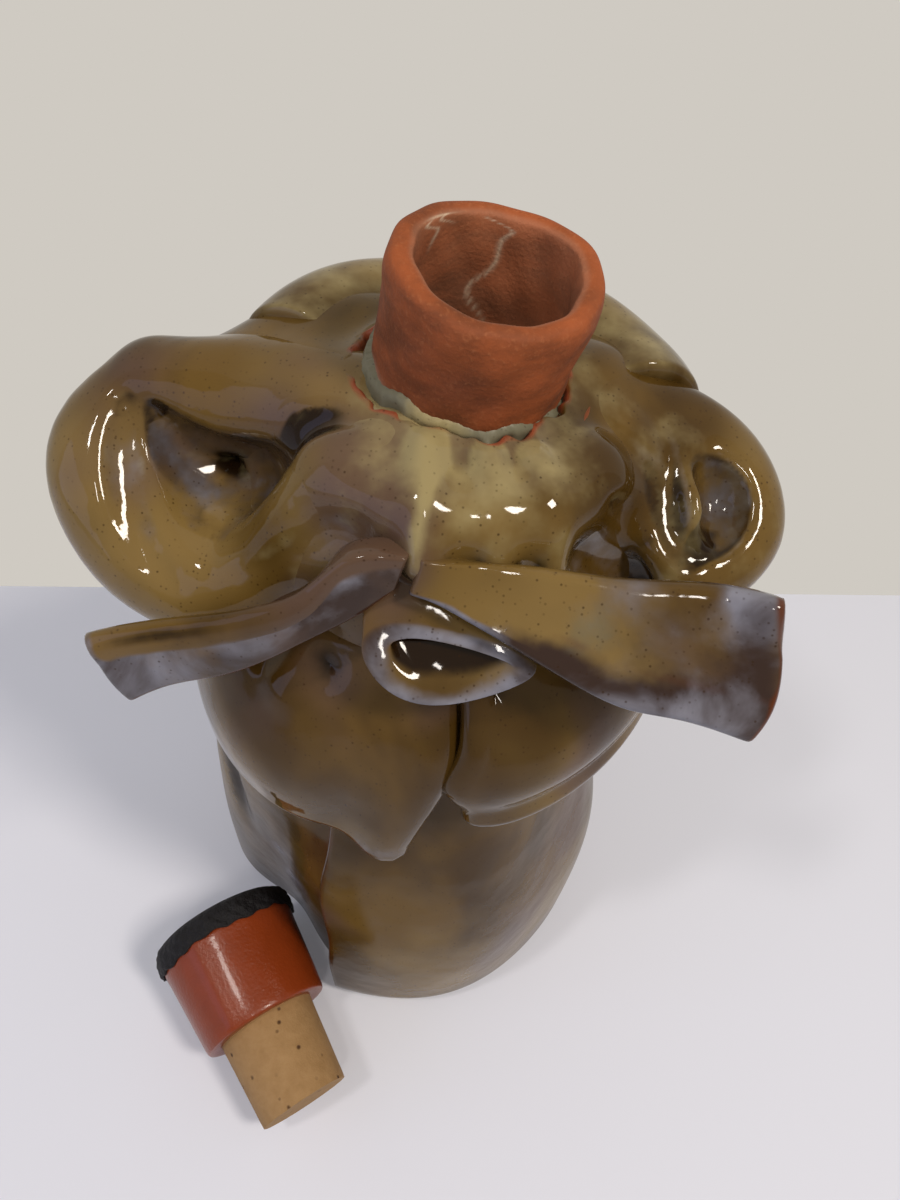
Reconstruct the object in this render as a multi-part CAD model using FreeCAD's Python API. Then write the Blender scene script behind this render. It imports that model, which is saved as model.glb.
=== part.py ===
"""Figural liquor decanter: a slab-built stoneware figure in a smock and bow, whose head is the cork stopper.

Millimetres. The origin is the middle of the foot on the table, +Z is up and the figure's front faces -Y.
Each slab of clay is its own solid, cut to lie against the slabs that were put on before it.
"""
import FreeCAD, Part
import math
import os
from FreeCAD import Vector

# Clay and cuts
clay = 5.0                      # thickness of the rolled slabs
overrun = 3.0                   # how far a cutting tool runs past the piece it cuts

# Skirt: the lower wall, a slab wrapped round and lapped at the front left
skirt_height = 118.0
skirt_half_width = 51.0
skirt_half_depth = 46.0
skirt_shift = 1.5               # the wall leans to the figure's left, +X
skirt_height_shares = (0.0, 0.07, 0.36, 0.66, 0.86, 1.0)
skirt_swell_shares = (0.95, 0.995, 1.0, 0.91, 0.82, 0.77)
lap_angle = 253.0               # where the lapped edge runs, in degrees from +X
lap_step = 3.6                  # height of the lapped edge
lap_fade_angle = 170.0          # turn over which the outer layer thins into the wall
hollow_depth = 12.0             # hollow in the wall beside the lap
hollow_angle = 223.0
hollow_spread_angle = 24.0
hollow_shares = (1.0, 1.0, 0.8, 0.3, 0.1, 0.0)
fold_depth = 1.4                # soft upright folds
fold_count = 5
fold_shares = (0.3, 0.5, 1.0, 1.0, 0.8, 0.5)

# Floor
floor_thickness = 6.0

# Torso: the upper wall of the bottle, closing in to the flat seat of the neck
torso_height = 57.0
torso_half_width = 36.0
torso_half_depth = 34.0
torso_height_shares = (0.0, 0.45, 0.78, 1.0)
torso_width_shares = (1.0, 0.93, 0.77, 0.58)
torso_depth_shares = (1.0, 0.90, 0.75, 0.60)
torso_drift_shares = (0.3, 0.6, 0.9, 1.0)

# Neck: a thrown ring, leaning to the figure's left and a little forward
neck_radius = 16.2
neck_bore_radius = 12.6
neck_length = 22.5
neck_shift = 7.0                # middle of the neck's foot, from the axis of the foot
neck_set_back = 2.0
neck_lean_angle = 8.0
neck_nod_angle = 3.5
neck_hole_gap = 1.5             # how much wider the torso's hole is than the bore

# Smock body: the slab round the torso, torn open round the neck
smock_thickness = 4.5
tear_gap = 3.4                  # moat between the neck and the torn edge
tear_depth = 1.1                # roughness of the torn edge
tear_count = 7

# Smock back: rolled over behind the neck, then falling to the hem
back_roll = 11.0                # radius of the roll
back_roll_reach = 32.0          # middle of the roll, out from the neck's foot
back_roll_height_share = 0.8333  # of the torso's height, as the sleeves' and the fronts' shares are
back_roll_angles = (125.0, 84.0, 42.0, 0.0)
back_fall_shares = (0.34, 0.67, 1.0)
back_hem_drop = 14.0            # hems, below the skirt's top
back_hem_flare = 4.5            # how far the hem swings out past the roll
back_start_angle = 14.0
back_end_angle = 160.0
back_fold_depth = 2.0
back_fold_count = 5
back_steps = 10

# Sleeves: puffed tubes that run out from the shoulder, bend and come back to the chest
sleeve_puff = 11.0              # half thickness across the bend
sleeve_depth = 14.0             # half thickness square to the bend
sleeve_slope_angle = 38.0       # the bend's plane looks up and forward
sleeve_swell_shares = (1.0, 1.06, 1.02, 1.0, 1.0, 1.0, 1.0, 1.0, 0.90)
sleeve_height_share = 0.5877
left_sleeve_reach = 39.5        # middle of the bend, out from the foot's axis
left_sleeve_set_back = -1.5
left_sleeve_bend = 12.0
left_sleeve_run = 34.0          # straight runs of the two arms, towards the chest
right_sleeve_reach = 41.0
right_sleeve_set_back = -2.0
right_sleeve_bend = 12.0
right_sleeve_run = 32.0

# Smock fronts
front_radius = 46.5
front_flare = 2.5               # how far the hem swings out past that
front_shift = 4.0
front_top_height_share = 0.4912
front_top_radius = 31.0
front_drop_shares = (0.0, 0.34, 0.68, 1.0)
front_swing_shares = (0.0, 0.62, 0.96, 1.0)
left_front_start_angle = 188.0
left_front_end_angle = 274.5
left_hem_drop = 15.0
left_hem_rise = 6.0
right_front_start_angle = 275.5
right_front_end_angle = 352.0
right_hem_drop = 12.0
right_hem_rise = 18.0
notch_shift = 5.0               # the dart that opens between the fronts at the hem
notch_rise = 6.0                # its point, above the skirt's top
notch_half_width = 4.0

# Bow
wing_thickness = 5.5
bow_rise = 23.0                 # top edge at the middle of the bow, above the fronts' top
bow_shift = 3.0
bow_reach = 32.0                # how far the middle stands in front of the foot's axis
left_wing_length = 50.0
left_wing_drop = 20.5
left_wing_swing = 9.0
left_wing_root = 7.0
left_wing_width = 13.5
right_wing_length = 53.0
right_wing_sag = 1.0
right_wing_root = 8.0
right_wing_width = 22.0
right_wing_slope_angle = 43.0   # how far its face is tipped back
right_wing_slope_shares = (0.42, 1.09, 1.07, 1.02, 0.93)
wing_run_shares = (0.0, 0.28, 0.55, 0.80, 1.0)

# Knot: a hollow roll that opens to the front
knot_half_width = 13.0
knot_half_height = 7.6
knot_wall = 2.6
knot_mouth_rise = 9.0           # middles of the roll's two ends, above the fronts' top
knot_mouth_reach = 41.0
knot_mouth_shift = 9.3
knot_mouth_slope_angle = 25.0
knot_root_rise = 14.0
knot_root_reach = 26.0
knot_root_share = 0.72
knot_run_shares = (0.0, 0.5, 1.0)
knot_floor = 6.0                # clay that closes the roll's inner end

# Stopper
head_length = 24.0
head_low_radius = 16.3
head_high_radius = 18.0
cork_radius = 12.2              # where it enters the head
cork_tip_radius = 11.0
cork_set = 15.0                 # length set into the head
cork_shown = 21.0
beret_radius = 18.8
beret_thickness = 5.6
beret_round = 2.4
stopper_angle = 246.15          # bearing of the head's lower end from the foot's axis, from +X
stopper_turn_angle = -53.0      # where the cork points, in degrees from +X
stopper_gap = 1.0               # room between the lying stopper and the skirt
stopper_nudges = 24             # times it is pushed up towards the skirt

ring_points = 12                # points on the closed outline of a soft form
lap_points = 24                 # points on an outline with folds or tears
sheet_points = 7                # points along a slab


def degrees(angle):
    return math.radians(angle)


def loft(wires):
    """A smooth solid through closed sections, with flat ends."""
    return Part.makeLoft(wires, True, False)


def closed(points):
    """A smooth closed outline through the points."""
    curve = Part.BSplineCurve()
    curve.interpolate(Points=points, PeriodicFlag=True)
    return Part.Wire(curve.toShape())


def ring(centre, side, front):
    """A closed oval round the centre: side and front are its two half axes."""
    points = []
    for step in range(ring_points):
        angle = 2 * math.pi * step / ring_points
        points.append(centre + side * math.cos(angle) + front * math.sin(angle))
    return closed(points)


def spline(points):
    """A smooth open edge through the points."""
    curve = Part.BSplineCurve()
    curve.interpolate(Points=points)
    return curve.toShape()


def slab(cuts, thickness):
    """A bent slab of clay, lofted from side to side through flat cuts.

    Each cut is its outer line, from the top down, and the direction square to the cut, towards the next one.
    The inner line lies a clay's thickness inside it in the same plane.
    """
    wires = []
    for outer, along in cuts:
        inner = []
        for i, point in enumerate(outer):
            down = outer[min(i + 1, len(outer) - 1)] - outer[max(i - 1, 0)]
            inner.append(point - down.cross(along).normalize() * thickness)
        inner.reverse()
        wires.append(Part.Wire([spline(outer), Part.makeLine(outer[-1], inner[0]),
                                spline(inner), Part.makeLine(inner[-1], outer[0])]))
    return loft(wires)


def upright_cut(centre, angle, profile):
    """A cut in the upright plane through a centre at a compass angle: the profile gives reach and height."""
    out = Vector(math.cos(degrees(angle)), math.sin(degrees(angle)), 0)
    points = [centre + out * reach + Vector(0, 0, height) for reach, height in profile]
    return points, Vector(-out.y, out.x, 0)


def seat(piece, *neighbours):
    """The piece pressed against its neighbours: their room is cut away and loose crumbs are dropped."""
    return max(piece.cut(list(neighbours)).Solids, key=lambda solid: solid.Volume)


def skirt_radius(angle, turn, level, lapped):
    """Outer radius of the skirt at a compass angle, for one level; turn is the angle gone since the lap."""
    width = skirt_half_width * math.cos(degrees(angle))
    depth = skirt_half_depth * math.sin(degrees(angle))
    radius = math.hypot(width, depth) * skirt_swell_shares[level]
    from_hollow = (turn - 360 + lap_angle - hollow_angle) / hollow_spread_angle
    radius -= hollow_depth * hollow_shares[level] * math.exp(-from_hollow ** 2)
    radius -= fold_depth * fold_shares[level] * math.cos(degrees(fold_count * turn))
    if lapped:
        fade = min(turn / lap_fade_angle, 1.0)
        radius += lap_step * (1 - fade * fade * (3 - 2 * fade))
    return radius


def skirt_wire(level, inset, lapped):
    """Outline of the skirt at one level: a spiral once round, closed by the lap's short straight edge."""
    height = skirt_height * skirt_height_shares[level]
    shift = skirt_shift * skirt_height_shares[level]
    steps = lap_points if lapped else lap_points // 2
    points = []
    for step in range(steps + (1 if lapped else 0)):
        turn = 360 * step / steps
        angle = degrees(lap_angle + turn)
        radius = skirt_radius(lap_angle + turn, turn, level, lapped) - inset
        points.append(Vector(shift + radius * math.cos(angle), radius * math.sin(angle), height))
    if not lapped:
        return closed(points)
    return Part.Wire([spline(points), Part.makeLine(points[-1], points[0])])


def torso_wires(grow, levels, height):
    """Oval sections of the torso, grown outward by a slab's thickness or shrunk by the wall."""
    wires = []
    for level in levels:
        centre = Vector(neck_shift * torso_drift_shares[level], neck_set_back * torso_drift_shares[level],
                        skirt_height + height * torso_height_shares[level])
        side = Vector(torso_half_width * torso_width_shares[level] + grow, 0, 0)
        front = Vector(0, torso_half_depth * torso_depth_shares[level] + grow, 0)
        wires.append(ring(centre, side, front))
    return wires


# Skirt and floor
levels = range(len(skirt_height_shares))
skirt_inside = loft([skirt_wire(level, clay, False) for level in levels])
skirt_outside = loft([skirt_wire(level, 0, True) for level in levels])
skirt_wall = skirt_outside.cut(skirt_inside)
floor_room = Part.makeBox(4 * skirt_half_width, 4 * skirt_half_width, floor_thickness,
                          Vector(-2 * skirt_half_width, -2 * skirt_half_width, 0))
floor_slab = skirt_inside.common(floor_room)

# Torso
neck_foot = Vector(neck_shift, neck_set_back, skirt_height + torso_height)
torso_levels = range(len(torso_height_shares))
torso_outside = loft(torso_wires(0, torso_levels, torso_height))
torso_inside = loft(torso_wires(-clay, torso_levels, torso_height - clay))
neck_hole = Part.makeCylinder(neck_bore_radius + neck_hole_gap, clay + 2 * overrun,
                              neck_foot - Vector(0, 0, clay + overrun))
torso_wall = torso_outside.cut([torso_inside, neck_hole])

# Neck ring, with a rounded lip
neck_wall = neck_radius - neck_bore_radius
lip = neck_wall / 2
lip_centre = (neck_radius + neck_bore_radius) / 2
lip_height = neck_length - lip
neck_profile = Part.Wire([
    Part.makeLine(Vector(neck_bore_radius, 0, -clay), Vector(neck_radius, 0, -clay)),
    Part.makeLine(Vector(neck_radius, 0, -clay), Vector(neck_radius, 0, lip_height)),
    Part.Arc(Vector(neck_radius, 0, lip_height), Vector(lip_centre, 0, neck_length),
             Vector(neck_bore_radius, 0, lip_height)).toShape(),
    Part.makeLine(Vector(neck_bore_radius, 0, lip_height), Vector(neck_bore_radius, 0, -clay))])
neck_ring = Part.Face(neck_profile).revolve(Vector(0, 0, 0), Vector(0, 0, 1), 360)
neck_turn = (FreeCAD.Rotation(Vector(0, 1, 0), neck_lean_angle)
             .multiply(FreeCAD.Rotation(Vector(1, 0, 0), neck_nod_angle)))
neck_ring.Placement = FreeCAD.Placement(neck_foot, neck_turn)
below_neck = Part.makeBox(4 * neck_radius, 4 * neck_radius, 2 * clay,
                          neck_foot - Vector(2 * neck_radius, 2 * neck_radius, 2 * clay))
neck_ring = neck_ring.cut(below_neck)

# Smock body, torn open round the neck
tear_points = []
for step in range(lap_points):
    turn = 2 * math.pi * step / lap_points
    radius = neck_radius + tear_gap + tear_depth * math.cos(tear_count * turn) * math.cos(turn)
    tear_points.append(Vector(radius * math.cos(turn), radius * math.sin(turn), -overrun) + neck_foot)
tear_hole = Part.Face(closed(tear_points)).extrude(Vector(0, 0, neck_length + overrun))
smock_outside = loft(torso_wires(smock_thickness, torso_levels, torso_height + smock_thickness))
smock_body = smock_outside.cut([torso_outside, tear_hole])

# Smock back, rolled over behind the neck and falling in folds
back_roll_height = skirt_height + torso_height * back_roll_height_share
back_cuts = []
for step in range(back_steps + 1):
    angle = back_start_angle + (back_end_angle - back_start_angle) * step / back_steps
    wave = back_fold_depth * math.cos(degrees(back_fold_count * angle))
    profile = []
    for roll_angle in back_roll_angles:
        profile.append((back_roll_reach + back_roll * math.cos(degrees(roll_angle)),
                        back_roll_height + back_roll * math.sin(degrees(roll_angle))))
    for fall in back_fall_shares:
        profile.append((back_roll_reach + back_roll + (back_hem_flare + wave) * fall,
                        back_roll_height + (skirt_height - back_hem_drop - back_roll_height) * fall))
    back_cuts.append(upright_cut(Vector(neck_shift, neck_set_back, 0), angle, profile))
back_drape = seat(slab(back_cuts, clay), smock_outside, skirt_outside, tear_hole)


def sleeve(hand, reach, set_back, bend, run):
    """A puffed sleeve: out from the shoulder, round the bend and back to the chest. Hand is +1 for +X."""
    out = Vector(hand, 0, 0)
    slope = degrees(sleeve_slope_angle)
    rise = Vector(0, math.cos(slope), math.sin(slope))
    front = Vector(0, -math.sin(slope), math.cos(slope))
    middle = Vector(hand * reach, set_back, skirt_height + torso_height * sleeve_height_share)
    count = len(sleeve_swell_shares)
    wires = []
    for step, swell in enumerate(sleeve_swell_shares):
        if step < 2:
            centre = middle + rise * bend - out * (run * (1 - step / 2))
            across = rise
        elif step > count - 3:
            centre = middle - rise * bend - out * (run * (1 - (count - 1 - step) / 2))
            across = rise * -1
        else:
            turn = math.pi * (step - 2) / (count - 5)
            across = rise * math.cos(turn) + out * math.sin(turn)
            centre = middle + across * bend
        wires.append(ring(centre, across * (sleeve_puff * swell), front * (sleeve_depth * swell)))
    return loft(wires)


left_sleeve = sleeve(-1, left_sleeve_reach, left_sleeve_set_back, left_sleeve_bend, left_sleeve_run)
left_sleeve = seat(left_sleeve, smock_outside, back_drape)
right_sleeve = sleeve(1, right_sleeve_reach, right_sleeve_set_back, right_sleeve_bend, right_sleeve_run)
right_sleeve = seat(right_sleeve, smock_outside, back_drape)

front_top_height = skirt_height + torso_height * front_top_height_share


def front(start_angle, end_angle, hem_drop, hem_rise):
    """One front of the smock: from under the bow down to the flared hem, which rises towards the side."""
    cuts = []
    for step in range(sheet_points):
        share = step / (sheet_points - 1)
        angle = start_angle + share * (end_angle - start_angle)
        hem = skirt_height - hem_drop + hem_rise * math.cos(degrees(angle)) ** 2
        hem_radius = front_radius + front_flare * math.sin(math.pi * share)
        profile = []
        for drop, swing in zip(front_drop_shares, front_swing_shares):
            profile.append((front_top_radius + (hem_radius - front_top_radius) * swing,
                            front_top_height + (hem - front_top_height) * drop))
        cuts.append(upright_cut(Vector(front_shift, 0, 0), angle, profile))
    return slab(cuts, clay)


notch_foot = skirt_height - left_hem_drop - overrun
notch_corners = [Vector(front_shift + notch_shift, 0, skirt_height + notch_rise),
                 Vector(front_shift + notch_shift - notch_half_width, 0, notch_foot),
                 Vector(front_shift + notch_shift + notch_half_width, 0, notch_foot)]
notch_outline = Part.makePolygon(notch_corners + notch_corners[:1])
notch = Part.Face(notch_outline).extrude(Vector(0, -2 * front_radius, 0))
smock_front_left = front(left_front_start_angle, left_front_end_angle, left_hem_drop, left_hem_rise)
smock_front_left = seat(smock_front_left, smock_outside, skirt_outside, left_sleeve, back_drape, notch)
smock_front_right = front(right_front_start_angle, right_front_end_angle, right_hem_drop, right_hem_rise)
smock_front_right = seat(smock_front_right, smock_outside, skirt_outside, right_sleeve, back_drape,
                         smock_front_left, notch)

# Knot
mouth_slope = degrees(knot_mouth_slope_angle)
mouth_up = Vector(0, math.sin(mouth_slope), math.cos(mouth_slope))
mouth_out = Vector(0, -math.cos(mouth_slope), math.sin(mouth_slope))
mouth = Vector(knot_mouth_shift, -knot_mouth_reach, front_top_height + knot_mouth_rise)
root = Vector(bow_shift, -knot_root_reach, front_top_height + knot_root_rise)


def knot_roll(half_width, half_height, start, end):
    """The roll's oval tube from its root to its mouth."""
    wires = []
    for share in knot_run_shares:
        size = knot_root_share + (1 - knot_root_share) * share
        wires.append(ring(start + (end - start) * share, Vector(half_width * size, 0, 0),
                          mouth_up * (half_height * size)))
    return loft(wires)


axis = (mouth - root).normalize()
knot_hollow = knot_roll(knot_half_width - knot_wall, knot_half_height - knot_wall,
                        root + axis * knot_floor, mouth + axis * overrun)
bow_knot = seat(knot_roll(knot_half_width, knot_half_height, root, mouth).cut(knot_hollow),
                smock_outside, smock_front_left, smock_front_right)

# Bow wings
bow_height = front_top_height + bow_rise
left_cuts = []
for share in reversed(wing_run_shares):
    top = Vector(bow_shift - left_wing_length * share, -bow_reach - left_wing_swing * share,
                 bow_height - left_wing_drop * share)
    width = left_wing_root + (left_wing_width - left_wing_root) * share
    left_cuts.append(([top, top - Vector(0, 0, width)], Vector(1, 0, 0)))
bow_left_wing = slab(left_cuts, wing_thickness)
right_cuts = []
for share, slope_share in zip(wing_run_shares, right_wing_slope_shares):
    top = Vector(bow_shift + right_wing_length * share, -bow_reach,
                 bow_height - right_wing_sag * math.sin(math.pi * share))
    width = right_wing_root + (right_wing_width - right_wing_root) * share
    slope = degrees(right_wing_slope_angle * slope_share)
    down = Vector(0, width * math.sin(slope), width * math.cos(slope))
    right_cuts.append(([top, top - down], Vector(1, 0, 0)))
bow_right_wing = slab(right_cuts, wing_thickness)
bow_left_wing = seat(bow_left_wing, smock_outside, left_sleeve, smock_front_left, bow_knot)
bow_right_wing = seat(bow_right_wing, smock_outside, right_sleeve, smock_front_right, bow_knot,
                      bow_left_wing)

# Stopper, upright with the head's lower end at the origin, then laid on the table
socket = Part.makeCylinder(cork_radius, cork_set)
stopper_head = Part.makeCone(head_low_radius, head_high_radius, head_length).cut(socket)
cork_end = Part.makeCone(cork_tip_radius, cork_radius, cork_shown, Vector(0, 0, -cork_shown))
stopper_cork = cork_end.fuse(socket)
stopper_beret = Part.makeCylinder(beret_radius, beret_thickness, Vector(0, 0, head_length))
stopper_beret = stopper_beret.makeFillet(beret_round, [stopper_beret.Edges[0]])
stopper = (stopper_head, stopper_cork, stopper_beret)

tilt = math.atan2(beret_radius - head_low_radius, head_length)
lay = (FreeCAD.Rotation(Vector(0, 0, 1), stopper_turn_angle + 180)
       .multiply(FreeCAD.Rotation(Vector(0, 1, 0), 90 - math.degrees(tilt))))
stopper_out = Vector(math.cos(degrees(stopper_angle)), math.sin(degrees(stopper_angle)), 0)
stopper_reach = 2 * skirt_half_width
for nudge in range(stopper_nudges):
    table = stopper_out * stopper_reach + Vector(0, 0, head_low_radius * math.cos(tilt))
    for piece in stopper:
        piece.Placement = FreeCAD.Placement(table, lay)
    room = min(skirt_outside.distToShape(piece)[0] for piece in stopper)
    stopper_reach -= room - stopper_gap

os.makedirs("parts", exist_ok=True)
for name, shape in (
        ("floor_slab", floor_slab), ("skirt_wall", skirt_wall), ("torso_wall", torso_wall),
        ("neck_ring", neck_ring), ("smock_body", smock_body), ("back_drape", back_drape),
        ("left_sleeve", left_sleeve), ("right_sleeve", right_sleeve),
        ("smock_front_left", smock_front_left), ("smock_front_right", smock_front_right),
        ("bow_knot", bow_knot), ("bow_left_wing", bow_left_wing), ("bow_right_wing", bow_right_wing),
        ("stopper_head", stopper_head), ("stopper_beret", stopper_beret), ("stopper_cork", stopper_cork)):
    shape.exportStep("parts/" + name + ".step")
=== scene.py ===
"""Looks of a figural liquor decanter: a slab-built figure in a glazed smock and bow, whose head is the stopper."""

import bmesh
import bpy
import numpy as np
from mathutils import Matrix


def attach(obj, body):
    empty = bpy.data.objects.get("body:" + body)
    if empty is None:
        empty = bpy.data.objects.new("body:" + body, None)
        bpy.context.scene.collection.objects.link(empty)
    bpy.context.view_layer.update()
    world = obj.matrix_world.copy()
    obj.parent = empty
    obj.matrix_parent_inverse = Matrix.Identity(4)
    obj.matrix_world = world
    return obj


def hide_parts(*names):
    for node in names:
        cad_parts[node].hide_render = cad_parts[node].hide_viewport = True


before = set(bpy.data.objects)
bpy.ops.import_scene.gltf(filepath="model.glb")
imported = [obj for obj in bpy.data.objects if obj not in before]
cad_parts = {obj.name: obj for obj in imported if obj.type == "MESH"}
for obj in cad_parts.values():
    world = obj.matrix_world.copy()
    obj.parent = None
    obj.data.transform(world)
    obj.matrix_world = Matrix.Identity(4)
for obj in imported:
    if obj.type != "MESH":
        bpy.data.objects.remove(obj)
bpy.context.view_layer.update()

# Floor slab and torso wall: the inside of the bottle, rolled red earthenware left without glaze.
# The slab is luted under the skirt, and the torso wall closes in above it to carry the neck and the smock.
# Only the foot's underside shows, and a little of the inside through the neck.


def linear(code):
    """Linear colour of an sRGB hex value."""
    shares = [int(code[i:i + 2], 16) / 255 for i in (1, 3, 5)]
    return [s / 12.92 if s <= 0.04045 else ((s + 0.055) / 1.055) ** 2.4 for s in shares] + [1.0]


def add(tree, kind, inputs=None, **settings):
    """Adds one node: settings are its own properties, inputs its sockets, each a value or a socket to link."""
    node = tree.nodes.new(kind)
    for name, value in settings.items():
        setattr(node, name, value)
    for name, value in (inputs or {}).items():
        if isinstance(value, bpy.types.NodeSocket):
            tree.links.new(value, node.inputs[name])
        else:
            node.inputs[name].default_value = value
    return node


def per_mm(size):
    """Texture scale for a pattern whose cells are that many millimetres across, on coordinates in metres."""
    return 1000.0 / size


def blank(name, **shader_values):
    """A material with its shader's own values set, its node tree and its place on the object."""
    material = bpy.data.materials.new(name)
    material.use_nodes = True
    tree = material.node_tree
    shader = tree.nodes["Principled BSDF"]
    for socket, value in shader_values.items():
        shader.inputs[socket.replace("_", " ")].default_value = value
    return material, tree, shader, add(tree, "ShaderNodeTexCoord").outputs["Object"]


def earthenware(name, pale, deep, grain_mm, streak):
    """Bare fired red clay, wiped with a wet sponge: dull, sandy, with darker and paler smears; a marked darkening
    adds painted shade.
    """
    material, tree, shader, place = blank(name, Roughness=0.72, IOR=1.45)
    turned = add(tree, "ShaderNodeMapping", {"Vector": place, "Scale": (1, 1, streak)}).outputs[0]
    smear = add(tree, "ShaderNodeTexNoise", {"Vector": turned, "Scale": per_mm(22), "Detail": 5.0,
                                             "Roughness": 0.62}).outputs["Fac"]
    sand = add(tree, "ShaderNodeTexNoise", {"Vector": place, "Scale": per_mm(grain_mm),
                                            "Detail": 3.0}).outputs["Fac"]
    spread = add(tree, "ShaderNodeMapRange", {"Value": smear, "From Min": 0.34, "From Max": 0.68},
                 interpolation_type="SMOOTHSTEP").outputs[0]
    clay = add(tree, "ShaderNodeMix", {0: spread, 6: linear(deep), 7: linear(pale)}, data_type="RGBA").outputs[2]
    dust = add(tree, "ShaderNodeMapRange", {"Value": sand, "From Min": 0.55, "From Max": 0.75,
                                            "To Max": 0.3}).outputs[0]
    slip = add(tree, "ShaderNodeAttribute", attribute_name="slip").outputs["Fac"]
    bore_shade_and_dark_band = add(tree, "ShaderNodeAttribute", attribute_name="bore_shade_and_dark_band").outputs["Fac"]
    # Dust is sandy grain and slip is pale slip; the last mark is painted shade deep in the neck's bore and a darker
    # band round the neck's outside.
    for share, colour in ((dust, "#ab6a40"), (slip, "#c9b49c"), (bore_shade_and_dark_band, "#4e2210")):
        clay = add(tree, "ShaderNodeMix", {0: share, 6: clay, 7: linear(colour)}, data_type="RGBA").outputs[2]
    tree.links.new(clay, shader.inputs["Base Color"])
    height = add(tree, "ShaderNodeMath", {0: smear, 1: sand}, operation="ADD").outputs[0]
    bump = add(tree, "ShaderNodeBump", {"Height": height, "Strength": 0.35, "Distance": 0.0004}).outputs[0]
    tree.links.new(bump, shader.inputs["Normal"])
    return material


bare_clay = earthenware("bare_red_earthenware", "#9c5830", "#713a1a", 0.9, 1.0)
for node in ("floor_slab", "torso_wall"):
    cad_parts[node].data.materials.clear()
    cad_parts[node].data.materials.append(bare_clay)

# Skirt: one rolled slab wrapped round into a tube, lapped at the front left and pressed in beside the lap,
# where the stopper lies. Dipped in a runny ash glaze that breaks from amber to olive and pools lilac-grey, with
# painted shade in the crease and the recess beside the lap.


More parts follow.
